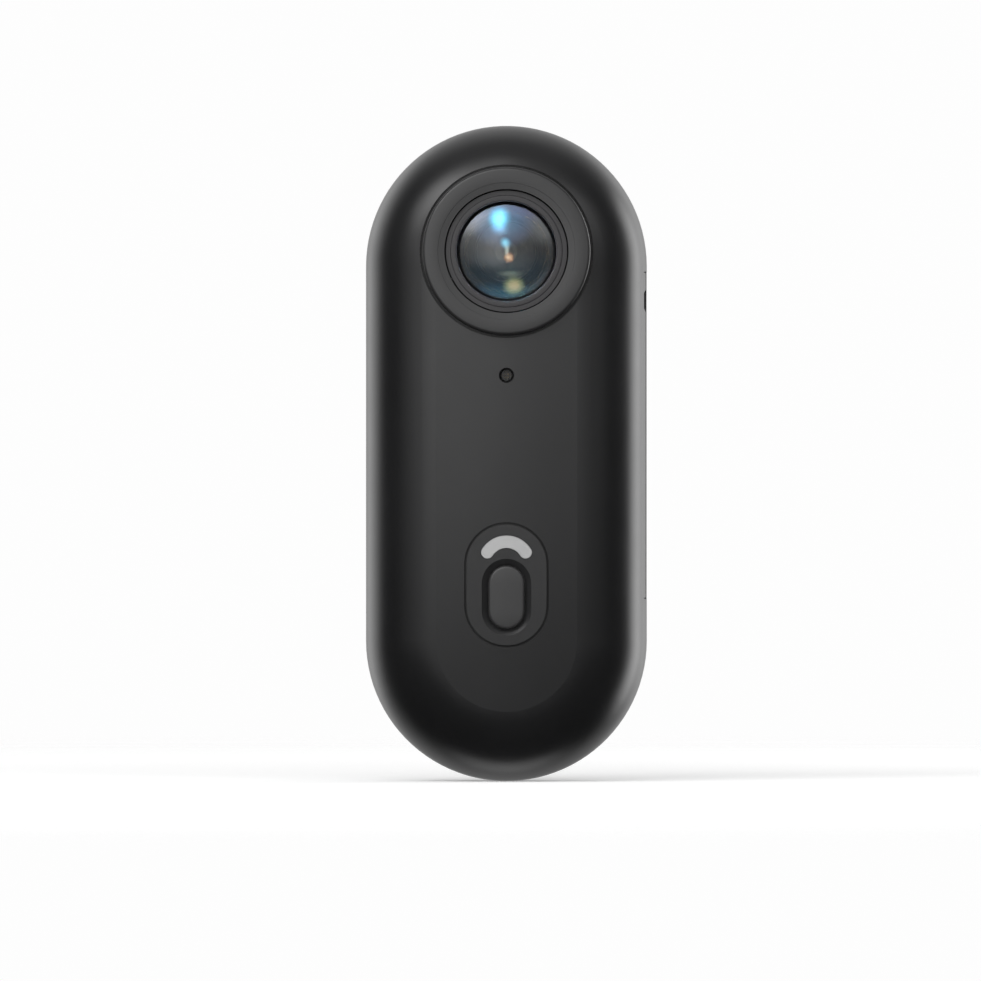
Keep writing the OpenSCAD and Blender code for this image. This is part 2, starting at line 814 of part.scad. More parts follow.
module aperture_stop() upright() color(black) translate([0, lens_y, stop_z])
    tube(inner_glass_r, stop_r, stop_h);

module lens_spacer() upright() color(black) translate([0, lens_y, stop_z + stop_h])
    tube(inner_glass_r, inner_glass_r - spacer_wall, spacer_h);

// Square base over the sensor with a threaded tube for the barrel.
module lens_holder() upright() color(grey) translate([0, lens_y, sensor_face_z]) difference() {
    union() {
        block(holder_w, holder_w, holder_base_h);
        cylinder(h = holder_l, r = holder_r);
    }
    translate([0, 0, -eps]) block(filter_w + 2 * snug, filter_w + 2 * snug, pocket_h + eps);
    block(filter_w - 2 * filter_ledge, filter_w - 2 * filter_ledge, pocket_h + window_h + eps);
    translate([0, 0, pocket_h + window_h]) cylinder(h = reach, r = thread_r + snug);
}

module infrared_filter() upright() color("#7fb7a8")
    translate([0, lens_y, sensor_face_z + pocket_h - filter_t]) block(filter_w, filter_w, filter_t);

module image_sensor() upright() color("#3b3550") translate([0, lens_y, sensor_face_z]) {
    block(sensor_w, sensor_l, sensor_t);
    translate([0, 0, sensor_t])
        block(sensor_w - 2 * sensor_frame_w, sensor_l - 2 * sensor_frame_w, sensor_cover_t);
}

// Board behind the lens: a square, an ear at each side, and a tab for the flat cable.
module sensor_board() upright() color(board_green) translate([0, 0, sensor_board_z])
    difference() {
        union() {
            intersection() {
                translate([0, lens_y])
                    block(holder_w + 2 * sensor_board_edge, holder_w + 2 * sensor_board_edge, board_t);
                translate([0, end_y])
                    cylinder(h = board_t, r = side_x - lip_inset - lip_t - 2 * clear);
            }
            translate([0, lens_y]) rotate(90)
                stadium_block(2 * sensor_post_r, 2 * (sensor_post_x + sensor_post_r), board_t);
            translate([cable_x, low_socket_y + socket_l / 2])
                block(cable_tab_w, cable_tab_l, board_t);
        }
        at_sensor_posts() translate([0, 0, -eps]) cylinder(h = reach, r = small_screw_r + clear);
    }

module sensor_screws() upright() color(steel) at_sensor_posts()
    translate([0, 0, sensor_board_z - small_head_h])
        screw(small_head_r, small_head_h, small_screw_r, small_head_h + board_t + sensor_screw_bite);

// ---- boards ----

module main_board() upright() color(board_green) translate([0, board_mid_y, board_back_z])
    difference() {
        union() {
            block(2 * board_x, board_l - 2 * board_corner_r, board_t);
            block(2 * (board_x - board_corner_r), board_l, board_t);
            both_sides() for (y = [-1, 1])
                translate([board_x - board_corner_r, y * (board_l / 2 - board_corner_r)])
                    cylinder(h = board_t, r = board_corner_r);
        }
        translate([0, -board_mid_y, -eps]) at_board_posts()
            cylinder(h = reach, r = small_screw_r + clear);
    }

module board_screws() upright() color(steel) at_board_posts()
    translate([0, 0, board_back_z - small_head_h])
        screw(small_head_r, small_head_h, small_screw_r, small_head_h + board_t + board_screw_bite);

module processor() upright() color(chip) translate([0, shield_y, board_front_z])
    block(shield_w - 2 * processor_edge, shield_l - 2 * processor_edge, chip_h);

// Thin metal lid over the processor, open towards the board.
module shield_can() upright() color(steel) translate([0, shield_y, board_front_z]) difference() {
    block(shield_w, shield_l, shield_h);
    translate([0, 0, -shield_t]) block(shield_w - 2 * shield_t, shield_l - 2 * shield_t, shield_h);
}

module memory_chip() upright() color(chip) translate([memory_x, card_y, board_back_z - chip_h])
    block(memory_w, memory_l, chip_h);

module antenna() upright() color(ivory) translate([0, antenna_y, board_front_z])
    block(antenna_w, antenna_l, antenna_h);

module microphone() upright() color(gold) translate([0, mic_y, board_front_z])
    block(mic_w, mic_l, mic_h);

// Rubber sleeve that seals the microphone against the front wall.
module mic_boot() upright() color(dark) translate([0, mic_y, mic_top_z]) difference() {
    union() {
        cylinder(h = mic_pad_z - mic_top_z, r = mic_boot_r);
        cylinder(h = mesh_z - mic_top_z, r = mic_pocket_r - snug);
    }
    translate([0, 0, -eps]) cylinder(h = reach, r = mic_boot_bore_r);
}

module mic_mesh() upright() color(grey) translate([0, mic_y, mesh_z])
    cylinder(h = mesh_t, r = mic_pocket_r - snug);

// Flat cable: out of the sensor board's socket, up past the battery, over to the main board.
module flex_cable() upright() color("#b07030") translate([cable_x - cable_w / 2, 0, 0])
    rotate([90, 0, 90]) linear_extrude(cable_w) {
        translate([cable_y + cable_bend, cable_low_z])
            square([low_socket_y - cable_y - cable_bend, cable_t]);
        translate([cable_y + cable_bend, cable_low_z + cable_bend])
            quarter_ring(cable_bend, cable_bend - cable_t, 180);
        translate([cable_y, cable_low_z + cable_bend])
            square([cable_t, cable_high_z - cable_low_z - 2 * cable_bend]);
        translate([cable_y + cable_t - cable_bend, cable_high_z - cable_bend])
            quarter_ring(cable_bend, cable_bend - cable_t, 0);
        translate([high_socket_y, cable_high_z - cable_t])
            square([cable_y + cable_t - cable_bend - high_socket_y, cable_t]);
    }

// Socket of the flat cable, with its slot open at one end.
module flex_socket(slot_side) {
    difference() {
        block(socket_w, socket_l, socket_h);
        translate([0, slot_side * socket_l / 2, socket_slot_z])
            block(cable_w + 2 * snug, socket_l, cable_t + 2 * snug);
    }
}

module flex_sockets() upright() color(ivory) {
    translate([cable_x, low_socket_y + socket_l / 2, sensor_face_z]) flex_socket(-1);
    translate([cable_x, high_socket_y - socket_l / 2, board_back_z - socket_h]) flex_socket(1);
}

// ---- control panel ----

// Curved bar with round ends round the light's centre.
module light_arc(grow, h) {
    translate([0, light_y]) {
        rotate(90 - light_angle) rotate_extrude(angle = 2 * light_angle)
            translate([light_r - light_w / 2 - grow, 0]) square([light_w + 2 * grow, h]);
        for (side = [-1, 1]) rotate(side * light_angle)
            translate([0, light_r]) cylinder(h = h, r = light_w / 2 + grow);
    }
}

module control_panel() upright() color("#2f2f2f") difference() {
    translate([0, panel_y, panel_z]) stadium_block(panel_w - 2 * panel_groove, panel_l - 2 * panel_groove, panel_t);
    translate([0, button_y, panel_z - eps])
        stadium_block(button_w + 2 * clear, button_l + 2 * clear, reach);
    // moat round the button
    translate([0, button_y, panel_z + panel_t - moat_depth])
        stadium_funnel(button_w + 2 * clear, button_w + 2 * moat_w, button_l - button_w, moat_depth + eps);
    translate([0, 0, panel_z - eps]) light_arc(snug, reach);
}

// Clear piece that carries the status light up to the panel.
module light_guide() upright() color("#c4c4c4") {
    translate([0, 0, panel_z - guide_flange_h]) light_arc(guide_flange_w, guide_flange_h);
    translate([0, 0, panel_z - eps]) light_arc(0, panel_t + eps);
    translate([0, light_y + light_r, board_front_z + led_h + guide_gap])
        cylinder(h = panel_z - guide_flange_h - board_front_z - led_h - guide_gap + eps, r = guide_stem_r);
}

module status_led() upright() color(ivory) translate([0, light_y + light_r, board_front_z])
    block(led_w, led_l, led_h);

// Button cap with a flange that keeps it behind the panel, and a plunger.
module shutter_button() upright() color(grey) translate([0, button_y, 0]) {
    translate([0, 0, button_flange_z])
        stadium_block(button_w, button_l, button_top_z - button_edge - button_flange_z + eps);
    // sloping edge of the cap
    translate([0, 0, button_top_z - button_edge])
        stadium_funnel(button_w, button_w - 2 * button_edge, button_l - button_w, button_edge);
    translate([0, 0, button_flange_z])
        stadium_block(button_w + 2 * button_flange_w, button_l + 2 * button_flange_w, button_flange_h);
    translate([0, 0, actuator_top_z])
        cylinder(h = button_flange_z - actuator_top_z + eps, r = plunger_r);
}

module switch_actuator() upright() color(black)
    translate([0, button_y, actuator_top_z - actuator_l]) cylinder(h = actuator_l, r = actuator_r);

module tact_switch() upright() color(steel) translate([0, button_y, board_front_z]) difference() {
    block(switch_w, switch_l, switch_h);
    translate([0, 0, switch_h + actuator_out - actuator_l - button_travel - clear])
        cylinder(h = reach, r = actuator_r + actuator_play);
}

// ---- ports ----

// Metal tube of the USB socket, closed at its inner end.
module usb_shell() upright() color(steel) translate([usb_mouth_x - usb_l, usb_y, usb_z])
    rotate([90, 0, 90]) difference() {
        linear_extrude(usb_l) rotate(90) stadium(usb_h, usb_w);
        translate([0, 0, usb_wall]) linear_extrude(reach) rotate(90)
            stadium(usb_h - 2 * usb_wall, usb_w - 2 * usb_wall);
    }

module usb_tongue() upright() color(black) translate([usb_mouth_x - usb_l + usb_wall, usb_y, usb_z])
    rotate([90, 0, 90]) linear_extrude(usb_l - usb_wall - tongue_short)
        square([usb_w - 2 * tongue_side, tongue_t], center = true);

// Metal box of the card socket, with its slot at the mouth.
module card_socket() upright() color(steel)
    translate([card_end_x, card_y - card_socket_w / 2, board_back_z - card_socket_h])
        difference() {
            cube([card_socket_l, card_socket_w, card_socket_h]);
            translate([card_back_wall, (card_socket_w - card_w) / 2, (card_socket_h - card_t) / 2])
                cube([reach, card_w, card_t]);
        }

// Hinged lid over the ports: a plate with the body's own curve, a knuckle and two trunnions.
module port_cover() upright() color(black) {
    difference() {
        intersection() {
            cover_block(cover_inner_x, side_x, 0);
            translate([0, cover_y, 0]) along_y(cover_l + 2 * wall) half_section(cover_inset);
        }
        // hollow for a fingernail near the top end
        translate([cover_face_x + nail_r - nail_depth, cover_y + cover_l / 2 - nail_from_end, nail_z])
            cylinder(h = nail_h, r = nail_r);
    }
    translate([hinge_x, cover_y, hinge_z]) rotate([90, 0, 0])
        cylinder(h = cover_l, r = knuckle_r, center = true);
    trunnions(trunnion_r, trunnion_l);
}

module seal_outline(inset) {
    stadium(seal_w - 2 * inset, cover_l - 2 * seal_edge - 2 * inset);
}

// Rubber pad on the inside of the cover, with a raised rim.
module port_cover_seal() upright() color(dark)
    translate([cover_inner_x, cover_y, seal_z]) rotate([0, -90, 0]) {
        linear_extrude(seal_pad_t) seal_outline(0);
        linear_extrude(seal_t) difference() {
            seal_outline(0);
            seal_outline(seal_rim_w);
        }
    }

// ---- battery ----

module battery_cell() upright() color("#9aa0a6") translate([0, battery_y, battery_z]) {
    block(battery_w - battery_t, battery_l, battery_t);
    both_sides() translate([battery_w / 2 - battery_t / 2, 0, battery_t / 2]) rotate([90, 0, 0])
        cylinder(h = battery_l, r = battery_t / 2, center = true);
}

module battery_protection() upright() color(board_green)
    translate([0, lead_y, battery_z + protection_edge])
        block(protection_w, protection_l, battery_t - 2 * protection_edge);

// One wire up from the cell's protection board and over to the plug on the main board.
module battery_lead() {
    translate([0, lead_y, lead_low_z])
        cylinder(h = lead_high_z - lead_bend - lead_low_z, r = lead_r);
    translate([0, lead_y - lead_bend, lead_high_z - lead_bend]) rotate([90, 0, 90])
        rotate_extrude(angle = 90) translate([lead_bend, 0]) circle(lead_r);
    translate([0, lead_y - lead_bend, lead_high_z]) rotate([90, 0, 0])
        cylinder(h = lead_y - lead_bend - plug_y, r = lead_r);
}

module battery_leads() upright() {
    color("#a02020") translate([lead_x - lead_step, 0, 0]) battery_lead();
    color(chip) translate([lead_x + lead_step, 0, 0]) battery_lead();
}

module battery_connector() upright() color(ivory)
    translate([lead_x, plug_y - plug_l / 2, board_back_z - plug_h]) block(plug_w, plug_l, plug_h);

// Foam between the cell and the ribs of the back cover.
module battery_pad() upright() color("#303030") translate([0, battery_y, shelf_z])
    block(battery_w - 2 * pad_edge, battery_l - pad_edge, pad_t);

front_shell();
back_cover();
shell_gasket();
case_screws();
lens_bezel();
bezel_gasket();
lens_retainer();
lens_barrel();
front_glass();
middle_glass();
rear_glass();
aperture_stop();
lens_spacer();
lens_holder();
infrared_filter();
image_sensor();
sensor_board();
sensor_screws();
flex_cable();
flex_sockets();
main_board();
board_screws();
processor();
shield_can();
memory_chip();
antenna();
microphone();
mic_boot();
mic_mesh();
control_panel();
light_guide();
status_led();
shutter_button();
switch_actuator();
tact_switch();
usb_shell();
usb_tongue();
card_socket();
port_cover();
port_cover_seal();
battery_cell();
battery_protection();
battery_leads();
battery_connector();
battery_pad();
magnets();
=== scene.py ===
"""Dresses a thumb-sized wearable camera: its casing, lens, controls, ports and boards.

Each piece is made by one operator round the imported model, which is a fixed frame.
World axes: x is across, z runs up the camera's long axis, and the lens looks along -y.
"""

import math

import bmesh
import bpy
from bpy.props import FloatProperty, FloatVectorProperty, IntProperty, PointerProperty
from bpy.types import Operator, Panel, PropertyGroup
from mathutils import Matrix, Vector


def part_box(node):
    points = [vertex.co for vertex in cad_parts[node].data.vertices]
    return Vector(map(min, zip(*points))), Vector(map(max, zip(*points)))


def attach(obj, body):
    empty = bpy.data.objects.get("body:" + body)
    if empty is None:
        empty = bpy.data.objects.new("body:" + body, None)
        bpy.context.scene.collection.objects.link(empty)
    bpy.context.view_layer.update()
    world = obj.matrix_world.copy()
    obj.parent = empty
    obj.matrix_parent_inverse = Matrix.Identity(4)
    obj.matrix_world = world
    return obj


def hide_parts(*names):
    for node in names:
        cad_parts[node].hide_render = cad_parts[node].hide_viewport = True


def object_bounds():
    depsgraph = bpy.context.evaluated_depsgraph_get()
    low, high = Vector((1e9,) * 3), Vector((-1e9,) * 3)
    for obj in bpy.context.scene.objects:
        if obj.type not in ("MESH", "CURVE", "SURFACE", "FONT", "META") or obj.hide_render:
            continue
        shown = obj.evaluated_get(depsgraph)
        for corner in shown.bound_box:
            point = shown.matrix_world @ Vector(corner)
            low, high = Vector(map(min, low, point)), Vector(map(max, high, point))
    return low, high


bl_info = {
    "name": "Wearable camera",
    "version": (1, 0, 0),
    "blender": (4, 5, 0),
    "location": "View3D > Sidebar > Camera",
    "description": "Dresses a thumb-sized wearable camera piece by piece",
    "category": "Add Mesh",
}

MM = 0.001
SMOOTH_ANGLE = math.radians(38)

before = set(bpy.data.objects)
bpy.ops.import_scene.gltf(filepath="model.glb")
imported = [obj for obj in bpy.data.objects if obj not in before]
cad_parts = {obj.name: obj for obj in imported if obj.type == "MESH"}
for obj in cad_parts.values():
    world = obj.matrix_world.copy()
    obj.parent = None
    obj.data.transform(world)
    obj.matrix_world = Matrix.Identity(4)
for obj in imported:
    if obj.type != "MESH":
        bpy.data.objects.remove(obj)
cad_low, cad_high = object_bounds()


def new_object(name, data):
    """An object in the scene."""
    made = bpy.data.objects.new(name, data)
    bpy.context.scene.collection.objects.link(made)
    return made


# ---- shader nodes ----

def arithmetic(operation, swapped=False):
    """A method for one of Python's signs, which adds one Math node."""
    def method(self, other):
        return self.math(operation, *((other, self) if swapped else (self, other)))
    return method


class Value:
    """A socket that varies over a surface. Python's signs on it add Math nodes."""

    def __init__(self, shader, socket):
        self.shader = shader
        self.socket = socket

    def math(self, operation, *values):
        return self.shader.node("ShaderNodeMath", {"operation": operation}, dict(enumerate(values)))

    __add__ = __radd__ = arithmetic("ADD")
    __mul__ = __rmul__ = arithmetic("MULTIPLY")
    __sub__ = arithmetic("SUBTRACT")
    __rsub__ = arithmetic("SUBTRACT", swapped=True)
    __truediv__ = arithmetic("DIVIDE")
    __rtruediv__ = arithmetic("DIVIDE", swapped=True)
    __pow__ = arithmetic("POWER")

    def beyond(self, edge):
        """How far it is past an edge, and 0 before it."""
        return self.math("MAXIMUM", self - edge, 0.0)

    def above(self, edge):
        return self.math("GREATER_THAN", self, edge)

    def size(self):
        return self.math("ABSOLUTE", self)

    def root(self):
        return self.math("SQRT", self)

    def ramp(self, low, high, out_low=0.0, out_high=1.0):
        """Goes smoothly from out_low at low to out_high at high, and stays there."""
        return self.shader.node("ShaderNodeMapRange", {"interpolation_type": "SMOOTHSTEP"},
                                {"Value": self, "From Min": low, "From Max": high,
                                 "To Min": out_low, "To Max": out_high})


class Shader:
    """A node tree, with the helpers that the finishes below are written in."""

    def __init__(self, tree):
        self.tree = tree

    def node(self, kind, settings=None, inputs=None, output=0):
        made = self.tree.nodes.new(kind)
        for name, value in (settings or {}).items():
            setattr(made, name, value)
        for name, value in (inputs or {}).items():
            self.feed(made.inputs[name], value)
        return Value(self, made.outputs[output])

    def feed(self, socket, value):
        """Links a value to a socket, or sets it there."""
        if isinstance(value, Value):
            self.tree.links.new(value.socket, socket)
        else:
            socket.default_value = value

    def mix(self, factor, first, second):
        """Two colours mixed by a factor."""
        made = self.tree.nodes.new("ShaderNodeMix")
        made.data_type = "RGBA"
        for number, value in ((0, factor), (6, first), (7, second)):
            self.feed(made.inputs[number], value)
        return Value(self, made.outputs[2])

    def place(self):
        return self.node("ShaderNodeTexCoord", output="Object")

    def split(self, vector):
        """The three parts of a vector."""
        split = self.tree.nodes.new("ShaderNodeSeparateXYZ")
        self.feed(split.inputs[0], vector)
        return [Value(self, output) for output in split.outputs]

    def axes(self):
        """The x, y and z of the place, in metres."""
        return self.split(self.place())

    def noise(self, size, detail=2.0, stretch=(1, 1, 1)):
        """Noise whose spots are about size metres wide."""
        scaled = self.node("ShaderNodeVectorMath", {"operation": "MULTIPLY"},
                           {0: self.place(), 1: stretch})
        return self.node("ShaderNodeTexNoise", None,
                         {"Vector": scaled, "Scale": 1 / size, "Detail": detail})

    def cells(self, size):
        return self.node("ShaderNodeTexVoronoi", None, {"Vector": self.place(), "Scale": 1 / size},
                         output="Distance")


class Finish(Shader):
    """A material with one Principled shader."""

    def __init__(self, name, colour, roughness, metallic=0.0, **constants):
        self.material = bpy.data.materials.new(name)
        self.material.use_nodes = True
        super().__init__(self.material.node_tree)
        self.surface = self.tree.nodes["Principled BSDF"]
        self.colour = (*colour[:3], 1)
        self.set("Base Color", self.colour)
        self.set("Roughness", roughness)
        self.set("Metallic", metallic)
        for name, value in constants.items():
            self.set(name.replace("_", " ").title().replace("Ior", "IOR"), value)

    def set(self, name, value):
        self.feed(self.surface.inputs[name], value)

    def tint(self, factor, other):
        """Lets the base colour vary towards another one."""
        self.set("Base Color", self.mix(factor, self.colour, (*other[:3], 1)))

    def relief(self, height, depth):
        """Bump of depth metres, from a height between 0 and 1."""
        self.set("Normal", self.node("ShaderNodeBump", None, {"Height": height, "Distance": depth},
                                     output="Normal"))


def front_fade(across, up):
    """Brightest near the middle, falling slowly to the left, faster to the right and below."""
    left = 1 / (1 + ((across * -1).beyond(-0.14) / 0.34) ** 1.8)
    right = 1 / (1 + across.beyond(0.14) / 0.11)
    return left * right * up.ramp(-1, -0.72)


def round_fade(across, up):
    """A round glow with a bright core."""
    return ((across ** 2 + up ** 2) ** 0.5).ramp(0.2, 1, 1, 0)


def glow_fade(across, up):
    """A point of light with a soft glow round it."""
    return (1 - across ** 2 - up ** 2).beyond(0) ** 2


def strip_fade(across, up):
    return across.size().ramp(0.35, 1, 1, 0) * up.size().ramp(0.5, 1, 1, 0)


def shade(colour, factor):
    return tuple(channel * factor for channel in colour[:3])


class Builder(Shader):
    """A Geometry Nodes tree with named sizes, whose result becomes one plain mesh."""

    def __init__(self, name, **sizes):
        super().__init__(bpy.data.node_groups.new(name, "GeometryNodeTree"))
        self.name = name
        interface = self.tree.interface
        interface.new_socket("Geometry", in_out="OUTPUT", socket_type="NodeSocketGeometry")
        self.values = {}
        for label, value in sizes.items():
            kind = ("NodeSocketInt" if isinstance(value, int) else
                    "NodeSocketFloat" if isinstance(value, float) else "NodeSocketVector")
            socket = interface.new_socket(label.replace("_", " ").capitalize(), in_out="INPUT",
                                          socket_type=kind)
            self.values[socket.identifier] = value
        given = self.tree.nodes.new("NodeGroupInput")
        self.sizes = {label: Value(self, output) for label, output in zip(sizes, given.outputs)}

    def make(self, kind, settings=None, inputs=None, output=0):
        return self.node("GeometryNode" + kind, settings, inputs, output)

    def vector(self, x=0.0, y=0.0, z=0.0):
        return self.node("ShaderNodeCombineXYZ", None, {0: x, 1: y, 2: z})

    def moved(self, geometry, by, turned=(0, 0, 0)):
        return self.make("Transform", None, {"Geometry": geometry, "Translation": by,
                                             "Rotation": turned})

    def joined(self, *geometries):
        join = self.tree.nodes.new("GeometryNodeJoinGeometry")
        for geometry in geometries:
            self.tree.links.new(geometry.socket, join.inputs[0])
        return Value(self, join.outputs[0])

    def row(self, thing, count, first, step, turned=(0, 0, 0), scale=(1, 1, 1)):
        """A thing repeated count times, from the first place in equal steps."""
        line = self.make("MeshLine", {"mode": "OFFSET"},
                         {"Count": count, "Start Location": first, "Offset": step})
        return self.make("InstanceOnPoints", None, {"Points": line, "Instance": thing,
                                                    "Rotation": turned, "Scale": scale})

    def sweep(self, path, profile):
        """A solid along a curve, with its ends closed."""
        return self.make("CurveToMesh", None, {"Curve": path, "Profile Curve": profile,
                                               "Fill Caps": True})

    def mesh(self, geometry, finish):
        """What the tree makes from its sizes, with every repeat made real."""
        real = self.make("RealizeInstances", None, {"Geometry": geometry})
        ready = self.make("SetMaterial", None, {"Geometry": real, "Material": finish})
        end = self.tree.nodes.new("NodeGroupOutput")
        self.tree.links.new(ready.socket, end.inputs[0])
        carrier = new_object(self.name, bpy.data.meshes.new(self.name))
        modifier = carrier.modifiers.new(self.name, "NODES")
        modifier.node_group = self.tree
        for identifier, value in self.values.items():
            modifier[identifier] = value
        graph = bpy.context.evaluated_depsgraph_get()
        made = bpy.data.meshes.new_from_object(carrier.evaluated_get(graph), depsgraph=graph)
        bpy.data.objects.remove(carrier)
        made.shade_smooth()
        if not made.polygons:
            raise RuntimeError(self.name + " is empty")
        return made


# ---- finishes ----

def moulded_plastic(name, colour, roughness, grain, depth, crown=0.0, reach=13 * MM):
    """Spark-eroded plastic: fine grain, faint flow marks, uneven gloss, and a crown across it."""
    finish = Finish(name, colour, roughness)
    grain_noise = finish.noise(grain, 3)
    flow = finish.noise(9 * MM, 2, (1, 1, 0.35))
    handled = finish.noise(3.5 * MM, 4)
    finish.tint(flow.ramp(0.3, 0.7, 0, 0.5), shade(colour, 1.35))
    finish.set("Roughness", roughness + (handled - 0.5) * 0.07 + (grain_noise - 0.5) * 0.04)
    height = grain_noise * 0.8 + handled * 0.2
    if crown:
        across = finish.axes()[0].size()
        height = height + across.ramp(0, reach, crown / depth, 0)
    finish.relief(height, depth)
    return finish.material


def anodised(name, colour, roughness, centre, line, depth, black_behind=1.0, painted_light_inside=0.0):
    """Turned and anodised aluminium: matt black behind a depth, made a black without any reflection
    as painted shade, and paler on a lip round the axis as painted light.
    """
    finish = Finish(name, colour, roughness, 0.0, specular_ior_level=0.6)
    x, y, z = finish.axes()
    radius = ((x - centre.x) ** 2 + (z - centre.z) ** 2) ** 0.5
    turned = finish.node("ShaderNodeTexNoise", {"noise_dimensions": "1D"},
                         {"W": radius + y * 0.7, "Scale": 1 / line, "Detail": 3.0})
    speck = finish.noise(0.08 * MM, 2)
    # Painted shade: behind the depth the colour is near black and metallic, so it reflects nothing,
    # darker than real blackened metal.
    hidden = y.above(black_behind)
    lined = finish.mix(turned.ramp(0.35, 0.65, 0, 0.6), finish.colour, (*shade(colour, 1.5), 1))
    # Painted light: inside the lip's radius the colour is 4.5 times paler, standing in for light on
    # the lip.
    painted_light_lip = finish.mix(radius.above(painted_light_inside), (*shade(colour, 4.5), 1), lined)
    finish.set("Base Color", finish.mix(hidden, painted_light_lip, (0.002, 0.002, 0.002, 1)))
    finish.set("Metallic", hidden)
    finish.set("Roughness", roughness + (turned - 0.5) * 0.12)
    finish.relief(turned * 0.7 + speck * 0.3, depth)
    return finish.material


def coated_glass(name, tint, reflection):
    """Clear glass whose coating sets what it reflects, with a little haze in patches."""
    finish = Finish(name, tint, 0.0, 0.0, transmission_weight=1.0, ior=1.6,
                    specular_tint=(*reflection, 1))
    haze = finish.noise(1.8 * MM, 3)
    finish.set("Roughness", haze.ramp(0.45, 0.9, 0.0, 0.03))
    return finish.material


def rubber(name, colour, roughness):
    finish = Finish(name, colour, roughness, specular_ior_level=0.35)
    grain = finish.noise(0.12 * MM, 3)
    dust = finish.noise(1.5 * MM, 5)
    finish.tint(dust.ramp(0.55, 0.8, 0, 0.5), shade(colour, 1.9))
    finish.set("Roughness", roughness + (dust - 0.5) * 0.15)
    finish.relief(grain, 0.008 * MM)
    return finish.material


def plated(name, colour, roughness, grain, stretch=(1, 1, 1)):
    """Plated or rolled metal: grain along one axis, and faint darker patches."""
    finish = Finish(name, colour, roughness, 1.0)
    rolled = finish.noise(grain, 3, stretch)
    patch = finish.noise(1.6 * MM, 4)
    finish.tint(patch.ramp(0.45, 0.75, 0, 0.45), shade(colour, 0.62))
    finish.set("Roughness", roughness + (rolled - 0.5) * 0.2 + (patch - 0.5) * 0.1)
    finish.relief(rolled, 0.002 * MM)
    return finish.material


def circuit_board(name, colour):
    """Solder resist over copper: tracks show as paler green lines, pads as gold dots."""
    finish = Finish(name, colour, 0.3)
    x, _, z = finish.axes()
    flat = finish.node("ShaderNodeCombineXYZ", None, {0: x, 1: z})
    tracks = finish.node("ShaderNodeTexBrick",
                         {"offset": 0.37, "squash": 1.6, "squash_frequency": 3},
                         {"Vector": flat, "Scale": 1 / (2.2 * MM), "Mortar Size": 0.035,
                          "Mortar Smooth": 0.1}, output="Fac")
    pads = 1 - finish.cells(1.3 * MM).ramp(0.13, 0.16)
    green = finish.mix(tracks, finish.colour, (*shade(colour, 2.1), 1))
    finish.set("Base Color", finish.mix(pads, green, (0.62, 0.45, 0.16, 1)))
    finish.set("Metallic", pads)
    finish.set("Roughness", 0.32 - pads * 0.06 + (finish.noise(0.5 * MM) - 0.5) * 0.1)
    finish.relief(tracks + pads, 0.02 * MM)
    return finish.material


def chip_package(name, colour):
    finish = Finish(name, colour, 0.55)
    grain = finish.noise(0.07 * MM, 3)
    finish.tint(finish.noise(1.2 * MM, 3).ramp(0.4, 0.7, 0, 0.6), shade(colour, 1.7))
    finish.set("Roughness", 0.5 + (grain - 0.5) * 0.25)
    finish.relief(grain, 0.01 * MM)
    return finish.material


def frosted_light(name, colour):
    """Frosted light guide: milky, with faint paler clouds and fine sparkle."""
    finish = Finish(name, colour, 0.42, subsurface_weight=0.25, subsurface_radius=(0.4 * MM,) * 3,
                    subsurface_scale=1.0)
    sparkle = finish.noise(0.1 * MM, 2)
    cloud = finish.noise(1.4 * MM, 2)
    finish.tint(cloud.ramp(0.3, 0.7, 0, 0.5), shade(colour, 1.12))
    finish.set("Roughness", 0.42 + (sparkle - 0.5) * 0.15)
    finish.relief(sparkle, 0.004 * MM)
    return finish.material


def insulated_wire(name, red, black, middle):
    """Red on the low side of the middle and black on the other."""
    finish = Finish(name, red, 0.45)
    x = finish.axes()[0]
    finish.tint(x.above(middle), black)
    finish.relief(finish.noise(0.25 * MM, 2), 0.01 * MM)
    return finish.material


def polyimide_film(name, colour):
    """Amber film with copper tracks along it."""
    finish = Finish(name, colour, 0.25, coat_weight=0.4)
    tracks = finish.node("ShaderNodeTexWave", {"bands_direction": "X"},
                         {"Vector": finish.place(), "Scale": 1 / (2 * MM), "Distortion": 0.0})
    finish.tint(tracks.ramp(0.55, 0.65), (0.75, 0.42, 0.12))
    finish.set("Roughness", 0.25 + (finish.noise(0.6 * MM) - 0.5) * 0.12)
    finish.relief(tracks, 0.006 * MM)
    return finish.material


def laminate_pouch(name, colour):
    """Aluminium laminate of the cell, with faint creases."""
    finish = Finish(name, colour, 0.34, 0.85)
    crease = finish.noise(2.4 * MM, 5, (1, 1, 0.4))
    finish.tint(crease.ramp(0.5, 0.7, 0, 0.35), shade(colour, 0.7))
    finish.set("Roughness", 0.3 + (crease - 0.5) * 0.25)
    finish.relief(crease, 0.05 * MM)
    return finish.material


# ---- meshes ----

def rounded(points, steps=5):
    """Rounds the corners of a closed profile. Each point is (radius, depth, corner radius)."""
    made = []
    for number, (r, y, corner) in enumerate(points):
        here = Vector((r, y))
        if corner <= 0:
            made.append(here)
            continue
        before = Vector(points[number - 1][:2]) - here
        after = Vector(points[(number + 1) % len(points)][:2]) - here
        half = before.angle(after) / 2
        reach = min(corner / math.tan(half), 0.49 * before.length, 0.49 * after.length)
        arc_r = reach * math.tan(half)
        inwards = (before.normalized() + after.normalized()).normalized()
        middle = here + inwards * (arc_r / math.sin(half))
        start = here + before.normalized() * reach - middle
        turn = start.angle_signed(here + after.normalized() * reach - middle)
        for step in range(steps + 1):
            arm = start.copy()
            arm.rotate(Matrix.Rotation(-turn * step / steps, 2))
            made.append(middle + arm)
    return made


